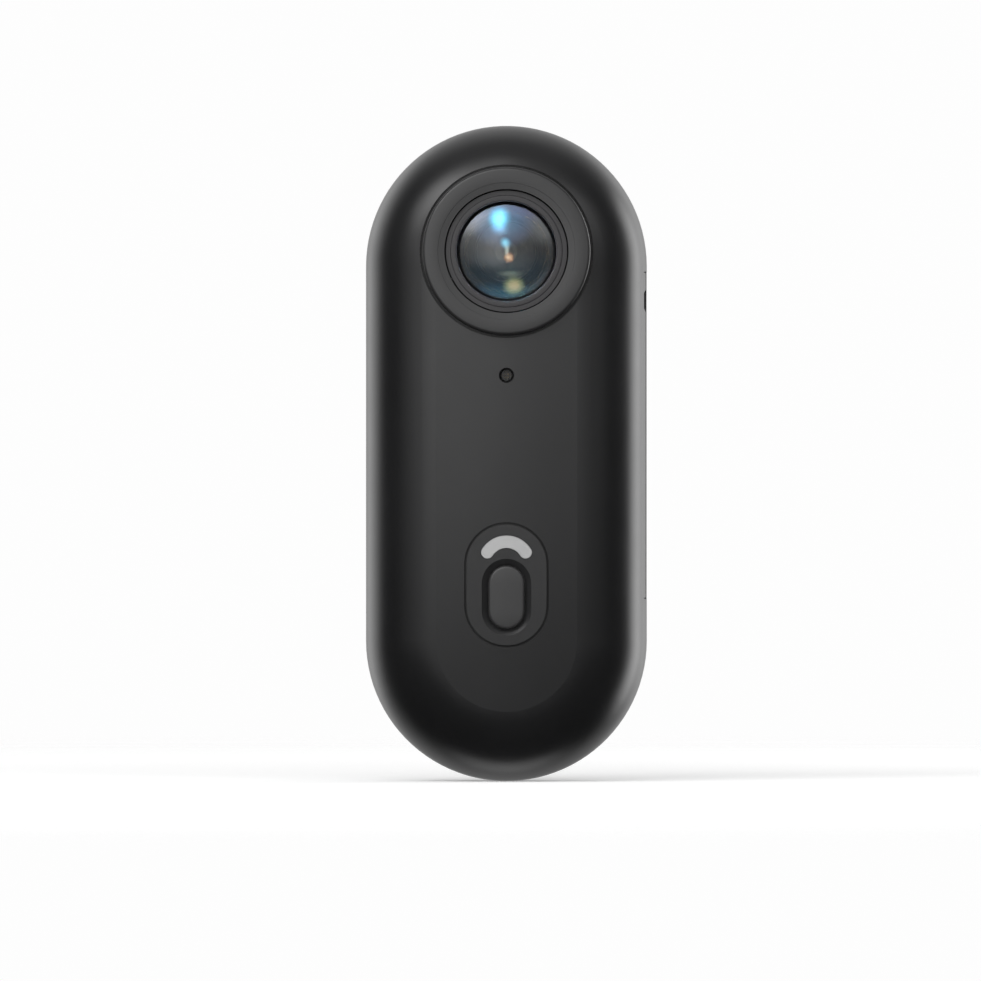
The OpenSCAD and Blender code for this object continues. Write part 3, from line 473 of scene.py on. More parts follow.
def piece(name, mesh, finish, body="body", replaces=()):
    """Links a finished mesh as a piece of the object."""
    mesh.set_sharp_from_angle(angle=SMOOTH_ANGLE)
    obj = new_object(name, mesh)
    mesh.materials.clear()
    mesh.materials.append(finish)
    weigh = obj.modifiers.new("weigh", "WEIGHTED_NORMAL")
    weigh.keep_sharp = True
    weigh.weight = 100
    bake_modifiers(obj)
    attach(obj, body)
    if replaces:
        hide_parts(*replaces)
    return obj


def bake_modifiers(obj):
    """Turns what the modifiers make into a plain mesh, and removes them."""
    graph = bpy.context.evaluated_depsgraph_get()
    made = bpy.data.meshes.new_from_object(obj.evaluated_get(graph), depsgraph=graph)
    obj.modifiers.clear()
    obj.data = made


def mesh_of(name, build):
    """A mesh made by a function that fills a bmesh, welded and with its faces outwards."""
    shape = bmesh.new()
    build(shape)
    bmesh.ops.remove_doubles(shape, verts=shape.verts, dist=1e-7)
    bmesh.ops.recalc_face_normals(shape, faces=shape.faces)
    mesh = bpy.data.meshes.new(name)
    shape.to_mesh(mesh)
    shape.free()
    mesh.shade_smooth()
    return mesh


def revolve(shape, profile, centre, segments, closed=True):
    """Turns a profile of (radius, y) round an axis along y through the centre."""
    rings = []
    for r, y in profile:
        if r < 1e-7:
            rings.append([shape.verts.new((centre.x, y, centre.z))])
            continue
        turns = [2 * math.pi * step / segments for step in range(segments)]
        rings.append([shape.verts.new((centre.x + r * math.cos(turn), y,
                                       centre.z + r * math.sin(turn))) for turn in turns])
    for first, second in zip(rings, rings[1:] + rings[:1] if closed else rings[1:]):
        bridge(shape, first, second)


def turned_mesh(name, profile, centre, segments):
    return mesh_of(name, lambda shape: revolve(shape, profile, centre, segments))


def bridge(shape, first, second):
    """Faces between two rings of the same count, or between a ring and a point."""
    count = max(len(first), len(second))
    if count == 1:
        return
    for step in range(count):
        after = (step + 1) % count
        corners = [first[step % len(first)], first[after % len(first)],
                   second[after % len(second)], second[step % len(second)]]
        shape.faces.new(list(dict.fromkeys(corners)))


def stadium_ring(shape, half_w, straight, y, centre, steps):
    """A stadium outline at depth y, with its long axis along z."""
    ring = []
    for end in (1, -1):
        for step in range(steps + 1):
            turn = math.pi * step / steps if end > 0 else math.pi * (1 + step / steps)
            ring.append(shape.verts.new((centre.x + half_w * math.cos(turn), y,
                                         centre.z + end * straight / 2 + half_w * math.sin(turn))))
    return ring


def stadium_stack(shape, profile, straight, centre, steps=40):
    """Lofts stadium outlines through a profile of (half width, y), and fills both ends."""
    rings = [stadium_ring(shape, half_w, straight, y, centre, steps) for half_w, y in profile]
    for first, second in zip(rings, rings[1:]):
        bridge(shape, first, second)
    shape.faces.new(rings[0])
    shape.faces.new(rings[-1])


def drilled_screw(shape, head_r, head_h, shank_r, length, cross):
    """A pan-head screw along +y, with a rounded rim, a tapered cross and turned threads."""
    segments, rim_steps = 48, 6
    rim, neck, tip = 0.2 * MM, 0.2 * MM, 0.5 * MM
    pitch, thread = 0.35 * MM, 0.08 * MM
    unthreaded = 0.8 * MM
    tip_r = 0.3 * shank_r
    profile = [(head_r - rim * (1 - math.cos(turn)), rim * (1 - math.sin(turn)))
               for turn in (math.pi / 2 * step / rim_steps for step in range(rim_steps, -1, -1))]
    profile += [(head_r, head_h), (shank_r, head_h)]
    for turn in range(int((length - unthreaded) / pitch)):
        start = head_h + neck + turn * pitch
        profile += [(shank_r - thread, start), (shank_r, start + pitch / 2)]
    end = head_h + length
    profile += [(shank_r - thread, end - tip), (tip_r, end), (0.0, end)]
    revolve(shape, profile, Vector((0, 0, 0)), segments, closed=False)
    rim_edges = [edge for edge in shape.edges if edge.is_boundary]
    arm, half, floor, taper = cross * head_r / 2, 0.13 * head_r, 0.75 * head_h, 0.7
    outline = []
    for quarter in range(4):
        turn = Matrix.Rotation(math.pi / 2 * quarter, 3, "Y")
        outline += [turn @ Vector(corner) for corner in
                    ((half, 0, half), (arm, 0, half), (arm, 0, -half))]
    top = [shape.verts.new(corner) for corner in outline]
    low = [shape.verts.new(corner * taper + Vector((0, floor, 0))) for corner in outline]
    cross_edges = [shape.edges.new((top[n], top[(n + 1) % len(top)])) for n in range(len(top))]
    bmesh.ops.triangle_fill(shape, edges=rim_edges + cross_edges, use_beauty=True)
    bridge(shape, top, low)
    shape.faces.new(low)


def centre_of(node):
    low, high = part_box(node)
    return (low + high) / 2


def paint(finish, *nodes):
    """Gives CAD nodes a finish through their material slots."""
    for node in nodes:
        for material_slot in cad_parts[node].material_slots:
            material_slot.material = finish


def number_choice(default, text, **limits):
    return FloatProperty(name=text, description=text, default=default, **limits)


def in_millimetres(default, text):
    return number_choice(default * MM, text, min=0.0, unit="LENGTH", precision=5)


def count_choice(default, text, low, high):
    return IntProperty(name=text, description=text, default=default, min=low, max=high)


def colour_choice(default, text):
    return FloatVectorProperty(name=text, description=text, subtype="COLOR", size=3, min=0, max=1,
                               default=default)


# ---- settings ----

class CasingSettings(PropertyGroup):
    """What a user would change on the casing."""

    colour: colour_choice((0.0078, 0.0078, 0.0083), "Colour of the casing")
    roughness: number_choice(0.3, "Roughness of the casing", min=0, max=1, subtype="FACTOR")
    grain: in_millimetres(0.14, "Width of the casing's grain")
    grain_depth: in_millimetres(0.003, "Depth of the casing's grain")
    crown: in_millimetres(0.3, "How far the casing's faces are crowned")
    screw_colour: colour_choice((0.36, 0.36, 0.37), "Colour of the screws")
    screw_head: in_millimetres(2.5, "Width of the case screws' heads")
    screw_shank: in_millimetres(1.4, "Width of the case screws' shanks")
    lower_spread: in_millimetres(10, "Distance between the lower case screws")


class LensSettings(PropertyGroup):
    """What a user would change on the lens."""

    ring_colour: colour_choice((0.012, 0.012, 0.0125), "Colour of the lens ring")
    ring_edge: in_millimetres(0.35, "Radius of the lens ring's outer edge")
    rim: in_millimetres(7.3, "Radius where the ring's slope starts")
    bore: in_millimetres(6.57, "Radius of the ring's bore")
    sleeve: in_millimetres(8.1, "Radius of the ring's sleeve")
    step: in_millimetres(0.03, "Drop at the start of the slope")
    slope: in_millimetres(0.035, "Depth of the slope at the bore")
    barrel_colour: colour_choice((0.0135, 0.0125, 0.0145), "Colour of the barrel and its ring")
    glass_radius: in_millimetres(5.35, "Radius of the front glass")
    dome: in_millimetres(1.2, "Height of the front glass's dome")
    coating: colour_choice((0.92, 0.97, 1.0), "Colour that the front of the lens reflects")
    inner_coating: colour_choice((0.04, 0.033, 0.023), "Colour that the surfaces inside reflect")


class ControlSettings(PropertyGroup):
    """What a user would change on the control panel."""

    panel_colour: colour_choice((0.0155, 0.0155, 0.016), "Colour of the panel")
    button_colour: colour_choice((0.032, 0.032, 0.0325), "Colour of the button")
    light_colour: colour_choice((0.35, 0.35, 0.35), "Colour of the light's face")
    gauze_colour: colour_choice((0.13, 0.13, 0.13), "Colour of the microphone's gauze")
    gauze_hole: in_millimetres(0.69, "Radius of the gauze's domed middle")
    gauze_crown: in_millimetres(0.8, "How far the gauze is domed")
    gauze_pitch: in_millimetres(0.15, "Distance between the gauze's wires")
    gauze_wire: in_millimetres(0.045, "Radius of the gauze's wires")
    button_edge: in_millimetres(0.28, "Radius of the button's edge")
    button_crown: in_millimetres(0.05, "How far the button's middle stands above its edge")


class PortSettings(PropertyGroup):
    """What a user would change in the ports."""

    gold: colour_choice((0.8, 0.55, 0.22), "Colour of the contacts")
    usb_contacts: count_choice(12, "Contacts on each side of the connector's tongue", 4, 12)
    card_contacts: count_choice(8, "Springs in the card's slot", 6, 9)


class StageSettings(PropertyGroup):
    """What a user would change on the stage."""

    lens_length: number_choice(600, "Focal length of the camera's lens", min=20, unit="CAMERA")
    field: in_millimetres(104.8, "Width that the picture shows")
    across: number_choice(-1.70 * MM, "Place of the picture's middle, across", unit="LENGTH")
    up: number_choice(-3.95 * MM, "Height of the picture's middle", unit="LENGTH")
    backdrop_colour: colour_choice((0.985, 0.985, 0.985), "Colour of the backdrop")
    floor_colour: colour_choice((0.8, 0.8, 0.8), "Colour of the floor")
    floor_radius: in_millimetres(320, "Radius of the floor")
    floor_glow: number_choice(0.45, "How much the floor shines by itself", min=0, max=1)
    fill: number_choice(0.5, "Brightness of the light from all round", min=0, max=2)


# ---- operators ----

class CAMERA_OT_casing(Operator):
    """Finishes the casing, its cover over the ports, its seals and its screws"""

    bl_idname = "wearable_camera.casing"
    bl_label = "Casing"

    def execute(self, context):
        chosen = context.scene.camera_casing
        shell = moulded_plastic("casing_plastic", chosen.colour, chosen.roughness,
                                chosen.grain, chosen.grain_depth, chosen.crown)
        paint(shell, "front_shell", "back_cover", "port_cover")
        paint(rubber("seal_rubber", (0.018, 0.018, 0.018), 0.7),
              "shell_gasket", "bezel_gasket", "port_cover_seal", "mic_boot")
        steel = plated("zinc_plated_steel", chosen.screw_colour, 0.3, 0.1 * MM)
        paint(steel, "board_screws", "sensor_screws")
        paint(plated("nickel_plate", (0.62, 0.62, 0.64), 0.22, 0.3 * MM), "magnets")
        self.screws(chosen, steel)
        return {"FINISHED"}

    def screws(self, chosen, steel):
        """Two pairs of one screw, the upper pair wider apart than the lower one."""
        low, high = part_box("case_screws")
        head_r = chosen.screw_head / 2
        head_h = 0.9 * MM
        cross = 1.3
        shape = mesh_of("screw_shape", lambda made: drilled_screw(
            made, head_r, head_h, chosen.screw_shank / 2, high.y - low.y - head_h, cross))
        model = new_object("screw_shape", shape)
        build = Builder("case_screw_pairs", upper_spread=high.x - low.x - 2 * head_r,
                        lower_spread=chosen.lower_spread, upper_height=high.z - head_r,
                        lower_height=low.z + head_r, face=high.y)
        screw = build.make("ObjectInfo", None, {"Object": model}, output="Geometry")
        pairs = []
        for pair in ("upper", "lower"):
            spread = build.sizes[pair + "_spread"]
            pairs.append(build.row(screw, 2, build.vector(spread * -0.5, build.sizes["face"],
                                                          build.sizes[pair + "_height"]),
                                   build.vector(x=spread), (math.pi, 0, 0)))
        piece("case_screw_set", build.mesh(build.joined(*pairs), steel), steel,
              replaces=["case_screws"])
        bpy.data.objects.remove(model)


class CAMERA_OT_lens(Operator):
    """Makes the lens ring, the barrel with its retaining ring, and the coated glasses"""

    bl_idname = "wearable_camera.lens"
    bl_label = "Lens"

    def execute(self, context):
        chosen = context.scene.camera_lens
        centre = centre_of("lens_bezel")
        self.ring(chosen, centre)
        self.barrel(chosen, centre)
        self.glasses(chosen, centre)
        return {"FINISHED"}

    def ring(self, chosen, centre):
        low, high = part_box("lens_bezel")
        outer = (high.x - low.x) / 2
        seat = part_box("bezel_gasket")[0].y
        fine = 0.05 * MM
        profile = rounded([
            (chosen.bore, high.y, 0), (chosen.sleeve, high.y, fine), (chosen.sleeve, seat, 0),
            (outer, seat, fine), (outer, low.y, chosen.ring_edge), (chosen.rim, low.y, fine),
            (chosen.rim, low.y + chosen.step, fine / 2), (chosen.bore, low.y + chosen.slope, fine)])
        finish = anodised("ring_anodised", chosen.ring_colour, 0.36, centre, 0.05 * MM,
                          0.002 * MM)
        piece("lens_ring", turned_mesh("lens_ring", profile, centre, 256), finish,
              replaces=["lens_bezel"])

    def barrel(self, chosen, centre):
        """The barrel is black behind the front glass, its own blackening made darker as painted
        shade, so that only its front ring shows.
        """
        low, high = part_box("lens_retainer")
        # Inside the lip's radius the ring is painted paler as painted light; behind the depth it is
        # painted shade.
        lip = chosen.glass_radius + 0.05 * MM
        finish = anodised("barrel_anodised", chosen.barrel_colour, 0.4, centre, 0.06 * MM,
                          0.002 * MM, high.y + 0.01 * MM, lip)
        paint(finish, "lens_barrel", "lens_spacer", "aperture_stop")
        outer = (high.x - low.x) / 2
        fine = 0.04 * MM
        profile = rounded([(chosen.glass_radius - 0.05 * MM, high.y, 0), (outer, high.y, 0),
                           (outer, low.y, fine), (chosen.glass_radius + 0.06 * MM, low.y, fine)])
        piece("retaining_ring", turned_mesh("retaining_ring", profile, centre, 192), finish,
              replaces=["lens_retainer"])

    def glasses(self, chosen, centre):
        inside = chosen.inner_coating
        paint(coated_glass("middle_coated", (1, 1, 1), inside), "middle_glass")
        paint(coated_glass("rear_coated", (0.97, 1, 0.95), inside), "rear_glass")
        paint(coated_glass("filter_coated", (0.75, 0.95, 0.92), inside), "infrared_filter")
        self.front_glass(chosen, centre)

    def front_glass(self, chosen, centre):
        """A dome over a hollow, each with its own coating."""
        low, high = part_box("front_glass")
        steps = 48
        ball = (chosen.glass_radius ** 2 + chosen.dome ** 2) / (2 * chosen.dome)
        dome = []
        for step in range(steps + 1):
            r = chosen.glass_radius * (1 - step / steps)
            dome.append((r, low.y + ball - math.sqrt(ball ** 2 - r ** 2)))
        inner_ball = 5.1 * MM
        thickness = 0.5 * MM
        top = low.y + thickness
        edge = math.sqrt(inner_ball ** 2 - (top + inner_ball - high.y) ** 2)
        hollow = []
        for step in range(steps + 1):
            r = edge * step / steps
            hollow.append((r, top + inner_ball - math.sqrt(inner_ball ** 2 - r ** 2)))
        profile = dome + hollow + [(chosen.glass_radius, high.y)]
        glass = piece("domed_glass", turned_mesh("domed_glass", profile, centre, 192),
                      coated_glass("front_coated", (1, 1, 1), chosen.coating),
                      replaces=["front_glass"])
        glass.data.materials.append(coated_glass("hollow_coated", (1, 1, 1), chosen.inner_coating))
        for face in glass.data.polygons:
            r = math.hypot(face.center.x - centre.x, face.center.z - centre.z)
            surface = low.y + ball - math.sqrt(max(ball ** 2 - r ** 2, 0))
            face.material_index = int(face.center.y > surface + thickness / 5)


class CAMERA_OT_controls(Operator):
    """Makes the button and finishes the panel, the light and the microphone"""

    bl_idname = "wearable_camera.controls"
    bl_label = "Controls"

    def execute(self, context):
        chosen = context.scene.camera_controls
        paint(moulded_plastic("panel_plastic", chosen.panel_colour, 0.36, 0.12 * MM, 0.003 * MM),
              "control_panel")
        paint(frosted_light("light_face", chosen.light_colour), "light_guide")
        paint(plated("microphone_gold", (0.75, 0.55, 0.25), 0.3, 0.1 * MM), "microphone")
        self.gauze(chosen)
        self.button(chosen)
        paint(chip_package("switch_plastic", (0.02, 0.02, 0.02)), "switch_actuator")
        paint(plated("switch_steel", (0.6, 0.6, 0.6), 0.28, 0.2 * MM), "tact_switch")
        return {"FINISHED"}

    def gauze(self, chosen):
        """Two layers of wires in a rim, domed in the middle, over the microphone."""
        low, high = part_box("mic_mesh")
        steel = plated("mesh_steel", chosen.gauze_colour, 0.45, 0.1 * MM)
        outer = (high.x - low.x) / 2
        build = Builder("gauze", radius=outer, rim=(high.y - low.y) / 2, pitch=chosen.gauze_pitch,
                        wire=chosen.gauze_wire, centre=tuple((low + high) / 2),
                        hole=chosen.gauze_hole, crown=chosen.gauze_crown,
                        count=int(2 * outer / chosen.gauze_pitch))
        radius, rim, pitch, wire, centre, hole, crown, count = build.sizes.values()
        inside = radius - rim
        x = build.split(build.node("GeometryNodeInputPosition"))[0]
        length = (inside ** 2 - x ** 2).beyond(0).root() * 2
        rod = build.make("MeshCylinder", None, {"Vertices": 8, "Side Segments": 14, "Radius": wire,
                                                "Depth": 1.0}, output="Mesh")
        upright = build.row(rod, count, build.vector(x=(count - 1) * pitch * -0.5),
                            build.vector(x=pitch), scale=build.vector(1.0, 1.0, length))
        level = build.moved(upright, build.vector(y=wire * 2), (0, math.pi / 2, 0))
        circle, section = [
            build.make("CurvePrimitiveCircle", None, {"Resolution": sides, "Radius": r})
            for sides, r in ((64, inside), (10, rim))]
        around = build.moved(build.sweep(circle, section), (0, 0, 0), (math.pi / 2, 0, 0))
        wires = build.make("RealizeInstances", None, {"Geometry": build.joined(upright, level)})
        x, _, z = build.split(build.node("GeometryNodeInputPosition"))
        rise = ((x ** 2 + z ** 2).root()).ramp(hole * 0.92, hole, crown, 0)
        domed = build.make("SetPosition", None,
                           {"Geometry": wires, "Offset": build.vector(y=rise * -1)})
        whole = build.moved(build.joined(domed, around), centre)
        piece("mic_gauze", build.mesh(whole, steel), steel,
              replaces=["mic_mesh"])

    def button(self, chosen):
        low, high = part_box("shutter_button")
        centre = (low + high) / 2
        flange = 0.55 * MM
        flange_drop = 1.15 * MM
        flange_h = 0.9 * MM
        plunger_r = 1.0 * MM
        sunk = 0.05 * MM
        steps = 8
        edge, crown = chosen.button_edge, chosen.button_crown
        half_w = (high.x - low.x) / 2 - flange
        straight = (high.z - low.z) - (high.x - low.x)
        top = low.y
        flange_low = top + flange_drop
        flange_high = flange_low + flange_h
        profile = [(half_w + flange, flange_high), (half_w + flange, flange_low),
                   (half_w, flange_low)]
        for step in range(steps + 1):
            turn = math.pi / 2 * step / steps
            profile.append((half_w - edge * (1 - math.cos(turn)),
                            top + edge * (1 - math.sin(turn))))
        for step in range(1, steps + 1):
            left = 1 - step / (steps + 1)
            profile.append(((half_w - edge) * left, top - crown * (1 - left ** 2)))
        profile.append((half_w * 0.02, top - crown))
        plunger = [(0.0, high.y), (plunger_r, high.y), (plunger_r, flange_high - sunk),
                   (0.0, flange_high - sunk)]
        finish = moulded_plastic("button_plastic", chosen.button_colour, 0.38, 0.12 * MM,
                                 0.003 * MM)

        def build(shape):
            stadium_stack(shape, profile, straight, centre)
            revolve(shape, plunger, centre, 48, closed=False)

        piece("button_cap", mesh_of("button_cap", build), finish, "shutter",
              ["shutter_button"])


class CAMERA_OT_ports(Operator):
    """Finishes the connector and the card socket"""

    bl_idname = "wearable_camera.ports"
    bl_label = "Ports"

    def execute(self, context):
        chosen = context.scene.camera_ports
        paint(plated("port_steel", (0.55, 0.56, 0.57), 0.25, 0.2 * MM, (0.2, 1, 1)),
              "usb_shell", "card_socket", "shield_can")
        paint(chip_package("tongue_plastic", (0.02, 0.02, 0.022)), "usb_tongue")
        gold = plated("contact_gold", chosen.gold, 0.22, 0.15 * MM, (0.2, 1, 1))
        low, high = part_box("usb_tongue")
        middle = (low.z + high.z) / 2
        tip, length, proud = high.x - 0.5 * MM, 3 * MM, 0.03 * MM
        for name, y, side in (("usb_contacts_front", low.y, -1), ("usb_contacts_back", high.y, 1)):
            self.contacts(name, gold, chosen.usb_contacts, pitch=0.5 * MM, width=0.26 * MM,
                          start=(tip - length, y, middle),
                          bend=(tip - MM, y + side * proud, middle),
                          end=(tip, y - side * proud, middle))
        low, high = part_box("card_socket")
        middle = (low.z + high.z) / 2
        roof = (low.y + high.y) / 2 + 0.43 * MM
        self.contacts("card_contacts", gold, chosen.card_contacts, pitch=1.1 * MM,
                      width=0.5 * MM, start=(high.x - 6 * MM, roof, middle),
                      bend=(high.x - 3.6 * MM, roof - 0.45 * MM, middle),
                      end=(high.x - 2.4 * MM, roof, middle))
        return {"FINISHED"}

    def contacts(self, name, finish, count, pitch, width, start, bend, end):
        """A row of flat springs along z, each bent over a curve from start to end."""
        build = Builder(name, count=count, pitch=pitch, width=width, thickness=0.06 * MM,
                        start=start, bend=bend, end=end)
        number, step, across, thickness, first, middle, last = build.sizes.values()
        path = build.make("CurveQuadraticBezier", None, {"Resolution": 12, "Start": first,
                                                         "Middle": middle, "End": last})
        upright = build.make("SetCurveNormal", {"mode": "Z_UP"}, {"Curve": path})
        strip = build.sweep(upright, build.make("CurvePrimitiveQuadrilateral", None,
                                                {"Width": thickness, "Height": across}))
        row = build.row(strip, number, build.vector(z=(number - 1) * step * -0.5),
                        build.vector(z=step))
        piece(name, build.mesh(row, finish), finish)


class CAMERA_OT_boards(Operator):
    """Finishes the boards, the chips, the cable and the battery"""

    bl_idname = "wearable_camera.boards"
    bl_label = "Boards and battery"

    def execute(self, context):
        paint(circuit_board("board_green", (0.016, 0.085, 0.035)),
              "main_board", "sensor_board", "battery_protection")
        paint(chip_package("chip_black", (0.022, 0.022, 0.025)), "processor", "memory_chip",
              "image_sensor")
        paint(chip_package("holder_black", (0.02, 0.02, 0.02)), "lens_holder")
        paint(chip_package("pale_ceramic", (0.62, 0.58, 0.48)), "antenna", "flex_sockets",
              "battery_connector", "status_led")
        paint(polyimide_film("amber_film", (0.42, 0.17, 0.03)), "flex_cable")
        paint(laminate_pouch("cell_laminate", (0.52, 0.53, 0.55)), "battery_cell")
        paint(rubber("foam_tape", (0.03, 0.03, 0.03), 0.9), "battery_pad")
        paint(insulated_wire("lead_insulation", (0.35, 0.015, 0.012), (0.012, 0.012, 0.012),
                             centre_of("battery_leads").x), "battery_leads")
        return {"FINISHED"}


class CAMERA_OT_stage(Operator):
    """Makes the floor, the backdrop, the soft lights and the camera"""

    bl_idname = "wearable_camera.stage"
    bl_label = "Stage"

    def execute(self, context):
        chosen = context.scene.camera_stage
        self.camera(context.scene, chosen)
        self.world(context.scene, chosen)
        self.floor(chosen)
        self.lights()
        context.scene.view_settings.view_transform = "Standard"
        return {"FINISHED"}

    def camera(self, scene, chosen):
        data = bpy.data.cameras.new("view")
        data.lens = chosen.lens_length
        data.sensor_width = 36
        distance = chosen.field * data.lens / data.sensor_width
        data.clip_start = 0.01
        data.clip_end = 10
        scene.camera = new_object("view", data)
        scene.camera.location = (chosen.across, cad_low.y / 2 - distance, chosen.up)
        scene.camera.rotation_euler = (math.pi / 2, 0, 0)

    def world(self, scene, chosen):
        """White to the eye. What reflects is dark in front and white behind and below."""
        world = bpy.data.worlds.new("studio")
        world.use_nodes = True
        scene.world = world
        sky = Shader(world.node_tree)
        background = world.node_tree.nodes["Background"]
        rays = world.node_tree.nodes.new("ShaderNodeLightPath")
        camera, glossy, through = [Value(sky, rays.outputs["Is %s Ray" % kind])
                                   for kind in ("Camera", "Glossy", "Transmission")]
        _, away, up = sky.split(sky.node("ShaderNodeTexCoord", output="Generated"))
        down = up * -1
        behind = (away.ramp(0.08, 0.6, 0, 2.0) * away.ramp(0.75, 0.95, 1, 0.4)
                  * up.ramp(0.2, 0.75, 1, 0.3) * down.ramp(0.1, 0.5, 1, 0.3))
        below = down.ramp(0.8, 0.97, 0, 1.4) * away.ramp(0, 0.15) * away.ramp(0.45, 0.7, 1, 0)
        above = up.ramp(0.55, 0.95, 0, 0.35)
        shown = camera + (1 - camera) * through
        lit = glossy * (behind + below + above) + (1 - glossy) * chosen.fill
        strength = shown + (1 - shown) * lit
        sky.feed(background.inputs["Color"], (*chosen.backdrop_colour, 1))
        sky.feed(background.inputs["Strength"], strength)

    def floor(self, chosen):
        """A pale floor that fades into the backdrop, so that only the shadow shows."""
        def build(shape):
            rings = [[shape.verts.new((radius * math.cos(turn), radius * math.sin(turn), cad_low.z))
                      for turn in (2 * math.pi * step / 64 for step in range(64))]
                     for radius in (0.02, 0.1, chosen.floor_radius)]
            shape.faces.new(rings[0])
            bridge(shape, rings[0], rings[1])
            bridge(shape, rings[1], rings[2])

        mesh = mesh_of("floor", build)
        floor = new_object("floor", mesh)
        floor.visible_glossy = False
        finish = Finish("floor_paper", chosen.floor_colour, 0.9, specular_ior_level=0.0,
                        emission_strength=1.0)
        x, y, _ = finish.axes()
        radius = (x ** 2 + y ** 2) ** 0.5
        rays = finish.tree.nodes.new("ShaderNodeLightPath")
        camera = Value(finish, rays.outputs["Is Camera Ray"])
        glow = camera * radius.ramp(0.03, 0.6 * chosen.floor_radius, 0.65, 1)
        shine = (*[chosen.floor_glow] * 3, 1)
        finish.set("Emission Color", finish.mix(glow, (0, 0, 0, 1), shine))
        finish.set("Alpha", radius.ramp(0.25 * chosen.floor_radius, chosen.floor_radius, 1, 0))
        mesh.materials.append(finish.material)

    def lights(self):
        """Each lamp: its place, what it faces, its size, its radiance and how it fades."""
        self.lamp("front_panel", (-0.05, -0.17, 0.15), (-0.05, 0, 0.15), (0.5, 0.38),
                  2.2, front_fade)
        self.lamp("key_softbox", self.towards(-7.6, 34.5, 0.34), (0, -0.016, 0.0215),
                  (0.075, 0.11), 3, round_fade)
        self.lamp("upper_left", self.towards(-41, 36, 0.35), (0, -0.01, 0.02),
                  (0.28, 0.28), 4.2, round_fade)
        self.lamp("upper_right", self.towards(38, 28, 0.35), (0, -0.01, 0.02),
                  (0.3, 0.26), 1.0, round_fade)
        self.lamp("right_strip", self.towards(109, 0, 0.32), (0, -0.01, 0), (0.22, 0.5),
                  3.2, strip_fade)
        self.lens_glints()

    def lens_glints(self):
        """Small lamps that only the domed glass shows, as softboxes show in a coated lens."""
        dome = bpy.data.collections.new("domed_glass_only")
        dome.objects.link(bpy.data.objects["domed_glass"])
        lens = Vector((0, -0.016, 0.0215))
        distance = 0.3
        for name, azimuth, elevation, size, radiance, core, rim in (
                ("key", -8.5, 34, (26, 31), 20, (0.14, 0.92, 1), (0.1, 0.6, 1)),
                ("low_key", -7, 23, (22, 16), 7, (0.35, 0.7, 1), (0.1, 0.4, 1)),
                ("halo", -5, 33, (72, 66), 3.4, (0.3, 0.75, 1.2), (0.4, 0.6, 1.3)),
                ("violet", 4, 46, (150, 32), 1.0, (1, 0.85, 1.5), (0.8, 0.7, 1.5)),
                ("sky", -44, 28, (100, 74), 1.05, (1, 1, 1), (1, 1, 1)),
                ("sky_right", 42, 26, (90, 70), 0.9, (1, 1, 1), (1, 1, 1)),
                ("dot", -1, 9, (14, 14), 11, (0.3, 0.9, 1.1), (0.1, 0.6, 1)),
                ("streak", 0.5, 2, (6, 16), 9, (0.85, 0.95, 0.85), (0.6, 0.6, 0.5)),
                ("spot", 2.5, -5.5, (12, 12), 12, (1, 0.7, 0.42), (1, 0.25, 0.0)),
                ("low", 8.5, -34, (25, 23), 8, (1, 0.77, 0.38), (0.7, 0.9, 0.35)),
                ("band", 4, -22, (32, 9), 1.8, (1, 1, 0.7), (0.8, 1, 0.7)),
                ("floor", -6, -42, (70, 28), 1.3, (0.1, 0.65, 1), (0.1, 0.5, 1)),
                ("fill", 0, -24, (120, 66), 0.75, (0.75, 1, 1.2), (0.75, 1, 1.2))):
            place = lens + Vector(self.towards(azimuth, elevation, distance))
            spread = [2 * distance * math.tan(math.radians(angle) / 2) for angle in size]
            lamp = self.lamp("glint_" + name, place, lens, spread, radiance, glow_fade, core, rim)
            lamp.light_linking.receiver_collection = dome

    def towards(self, azimuth, elevation, distance):
        """A place that is azimuth degrees right of the front, and elevation degrees up."""
        azimuth, elevation = math.radians(azimuth), math.radians(elevation)
        return (distance * math.sin(azimuth) * math.cos(elevation),
                -distance * math.cos(azimuth) * math.cos(elevation), distance * math.sin(elevation))

    def lamp(self, name, place, aim, size, radiance, fade, core=(1, 1, 1), rim=(1, 1, 1)):
        """A rectangular lamp. fade gives its brightness from its own across and up, -1 to 1."""
        data = bpy.data.lights.new(name, "AREA")
        data.shape = "RECTANGLE"
        data.size, data.size_y = size
        data.energy = radiance * math.pi * size[0] * size[1]
        data.use_nodes = True
        glow = Shader(data.node_tree)
        across, up, _ = glow.split(glow.node("ShaderNodeNewGeometry", output="Parametric"))
        level = fade(across * 2 - 1, up * 2 - 1)
        emission = data.node_tree.nodes["Emission"]
        colour = glow.mix(level, (*rim, 1), (*core, 1))
        glow.feed(emission.inputs["Color"], glow.mix(level, (0, 0, 0, 1), colour))
        obj = new_object(name, data)
        obj.location = place
        obj.rotation_euler = (Vector(aim) - Vector(place)).to_track_quat("-Z", "Y").to_euler()
        obj.visible_camera = False
        return obj


# ---- panel and registration ----

class CAMERA_PT_pieces(Panel):
    """Lists the operators that build the camera"""

    bl_label = "Wearable camera"
    bl_idname = "CAMERA_PT_pieces"
    bl_space_type = "VIEW_3D"
    bl_region_type = "UI"
    bl_category = "Camera"

    def draw(self, context):
        for operator in OPERATORS:
            self.layout.operator(operator.bl_idname)
        for group in SETTINGS:
            settings = getattr(context.scene, group)
            for name in settings.__annotations__:
                self.layout.prop(settings, name)


OPERATORS = (CAMERA_OT_casing, CAMERA_OT_lens, CAMERA_OT_controls, CAMERA_OT_ports,
             CAMERA_OT_boards, CAMERA_OT_stage)
SETTINGS = {"camera_casing": CasingSettings, "camera_lens": LensSettings,
            "camera_controls": ControlSettings, "camera_ports": PortSettings,
            "camera_stage": StageSettings}


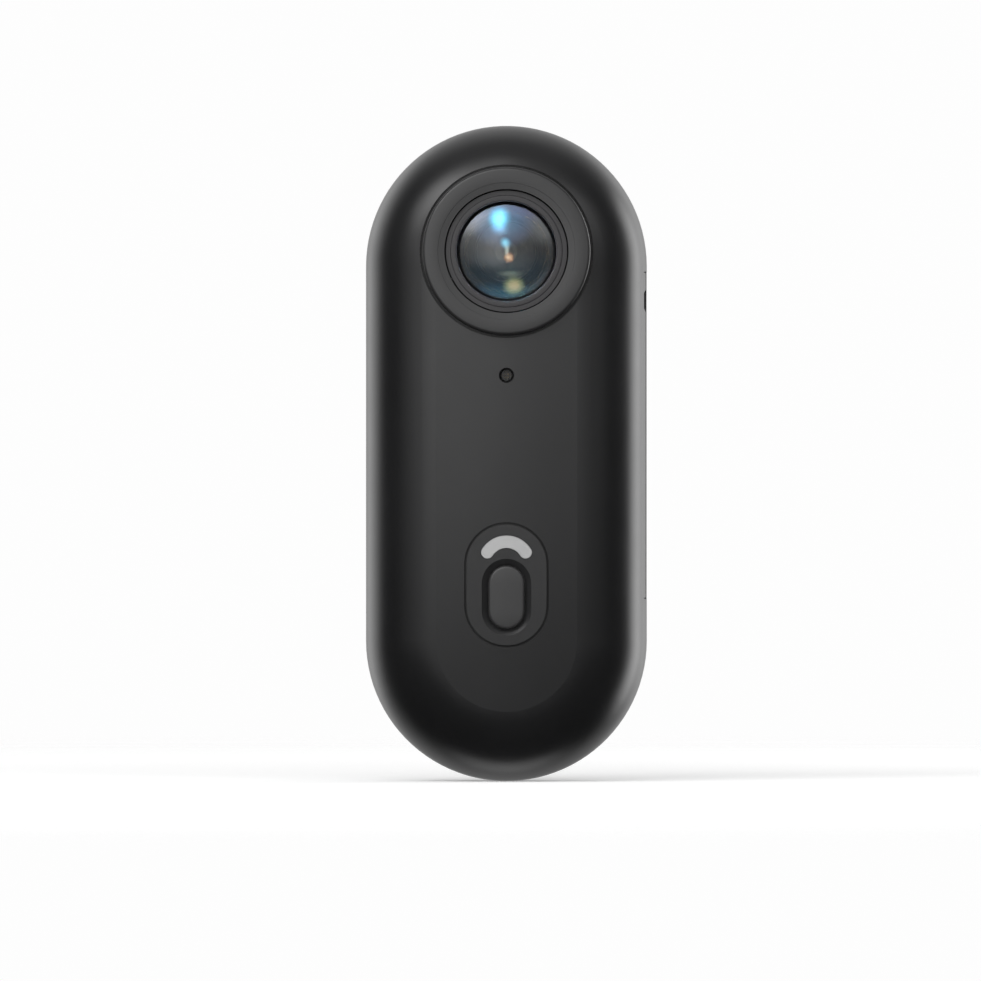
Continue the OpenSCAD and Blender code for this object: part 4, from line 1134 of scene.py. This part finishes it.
def register():
    for kind in (*SETTINGS.values(), *OPERATORS, CAMERA_PT_pieces):
        bpy.utils.register_class(kind)
    for name, kind in SETTINGS.items():
        setattr(bpy.types.Scene, name, PointerProperty(type=kind))


def unregister():
    for name in SETTINGS:
        delattr(bpy.types.Scene, name)
    for kind in reversed((*SETTINGS.values(), *OPERATORS, CAMERA_PT_pieces)):
        bpy.utils.unregister_class(kind)


def main():
    register()
    bpy.ops.wearable_camera.casing()
    bpy.ops.wearable_camera.lens()
    bpy.ops.wearable_camera.controls()
    bpy.ops.wearable_camera.ports()
    bpy.ops.wearable_camera.boards()
    bpy.ops.wearable_camera.stage()


if __name__ == "__main__":
    main()
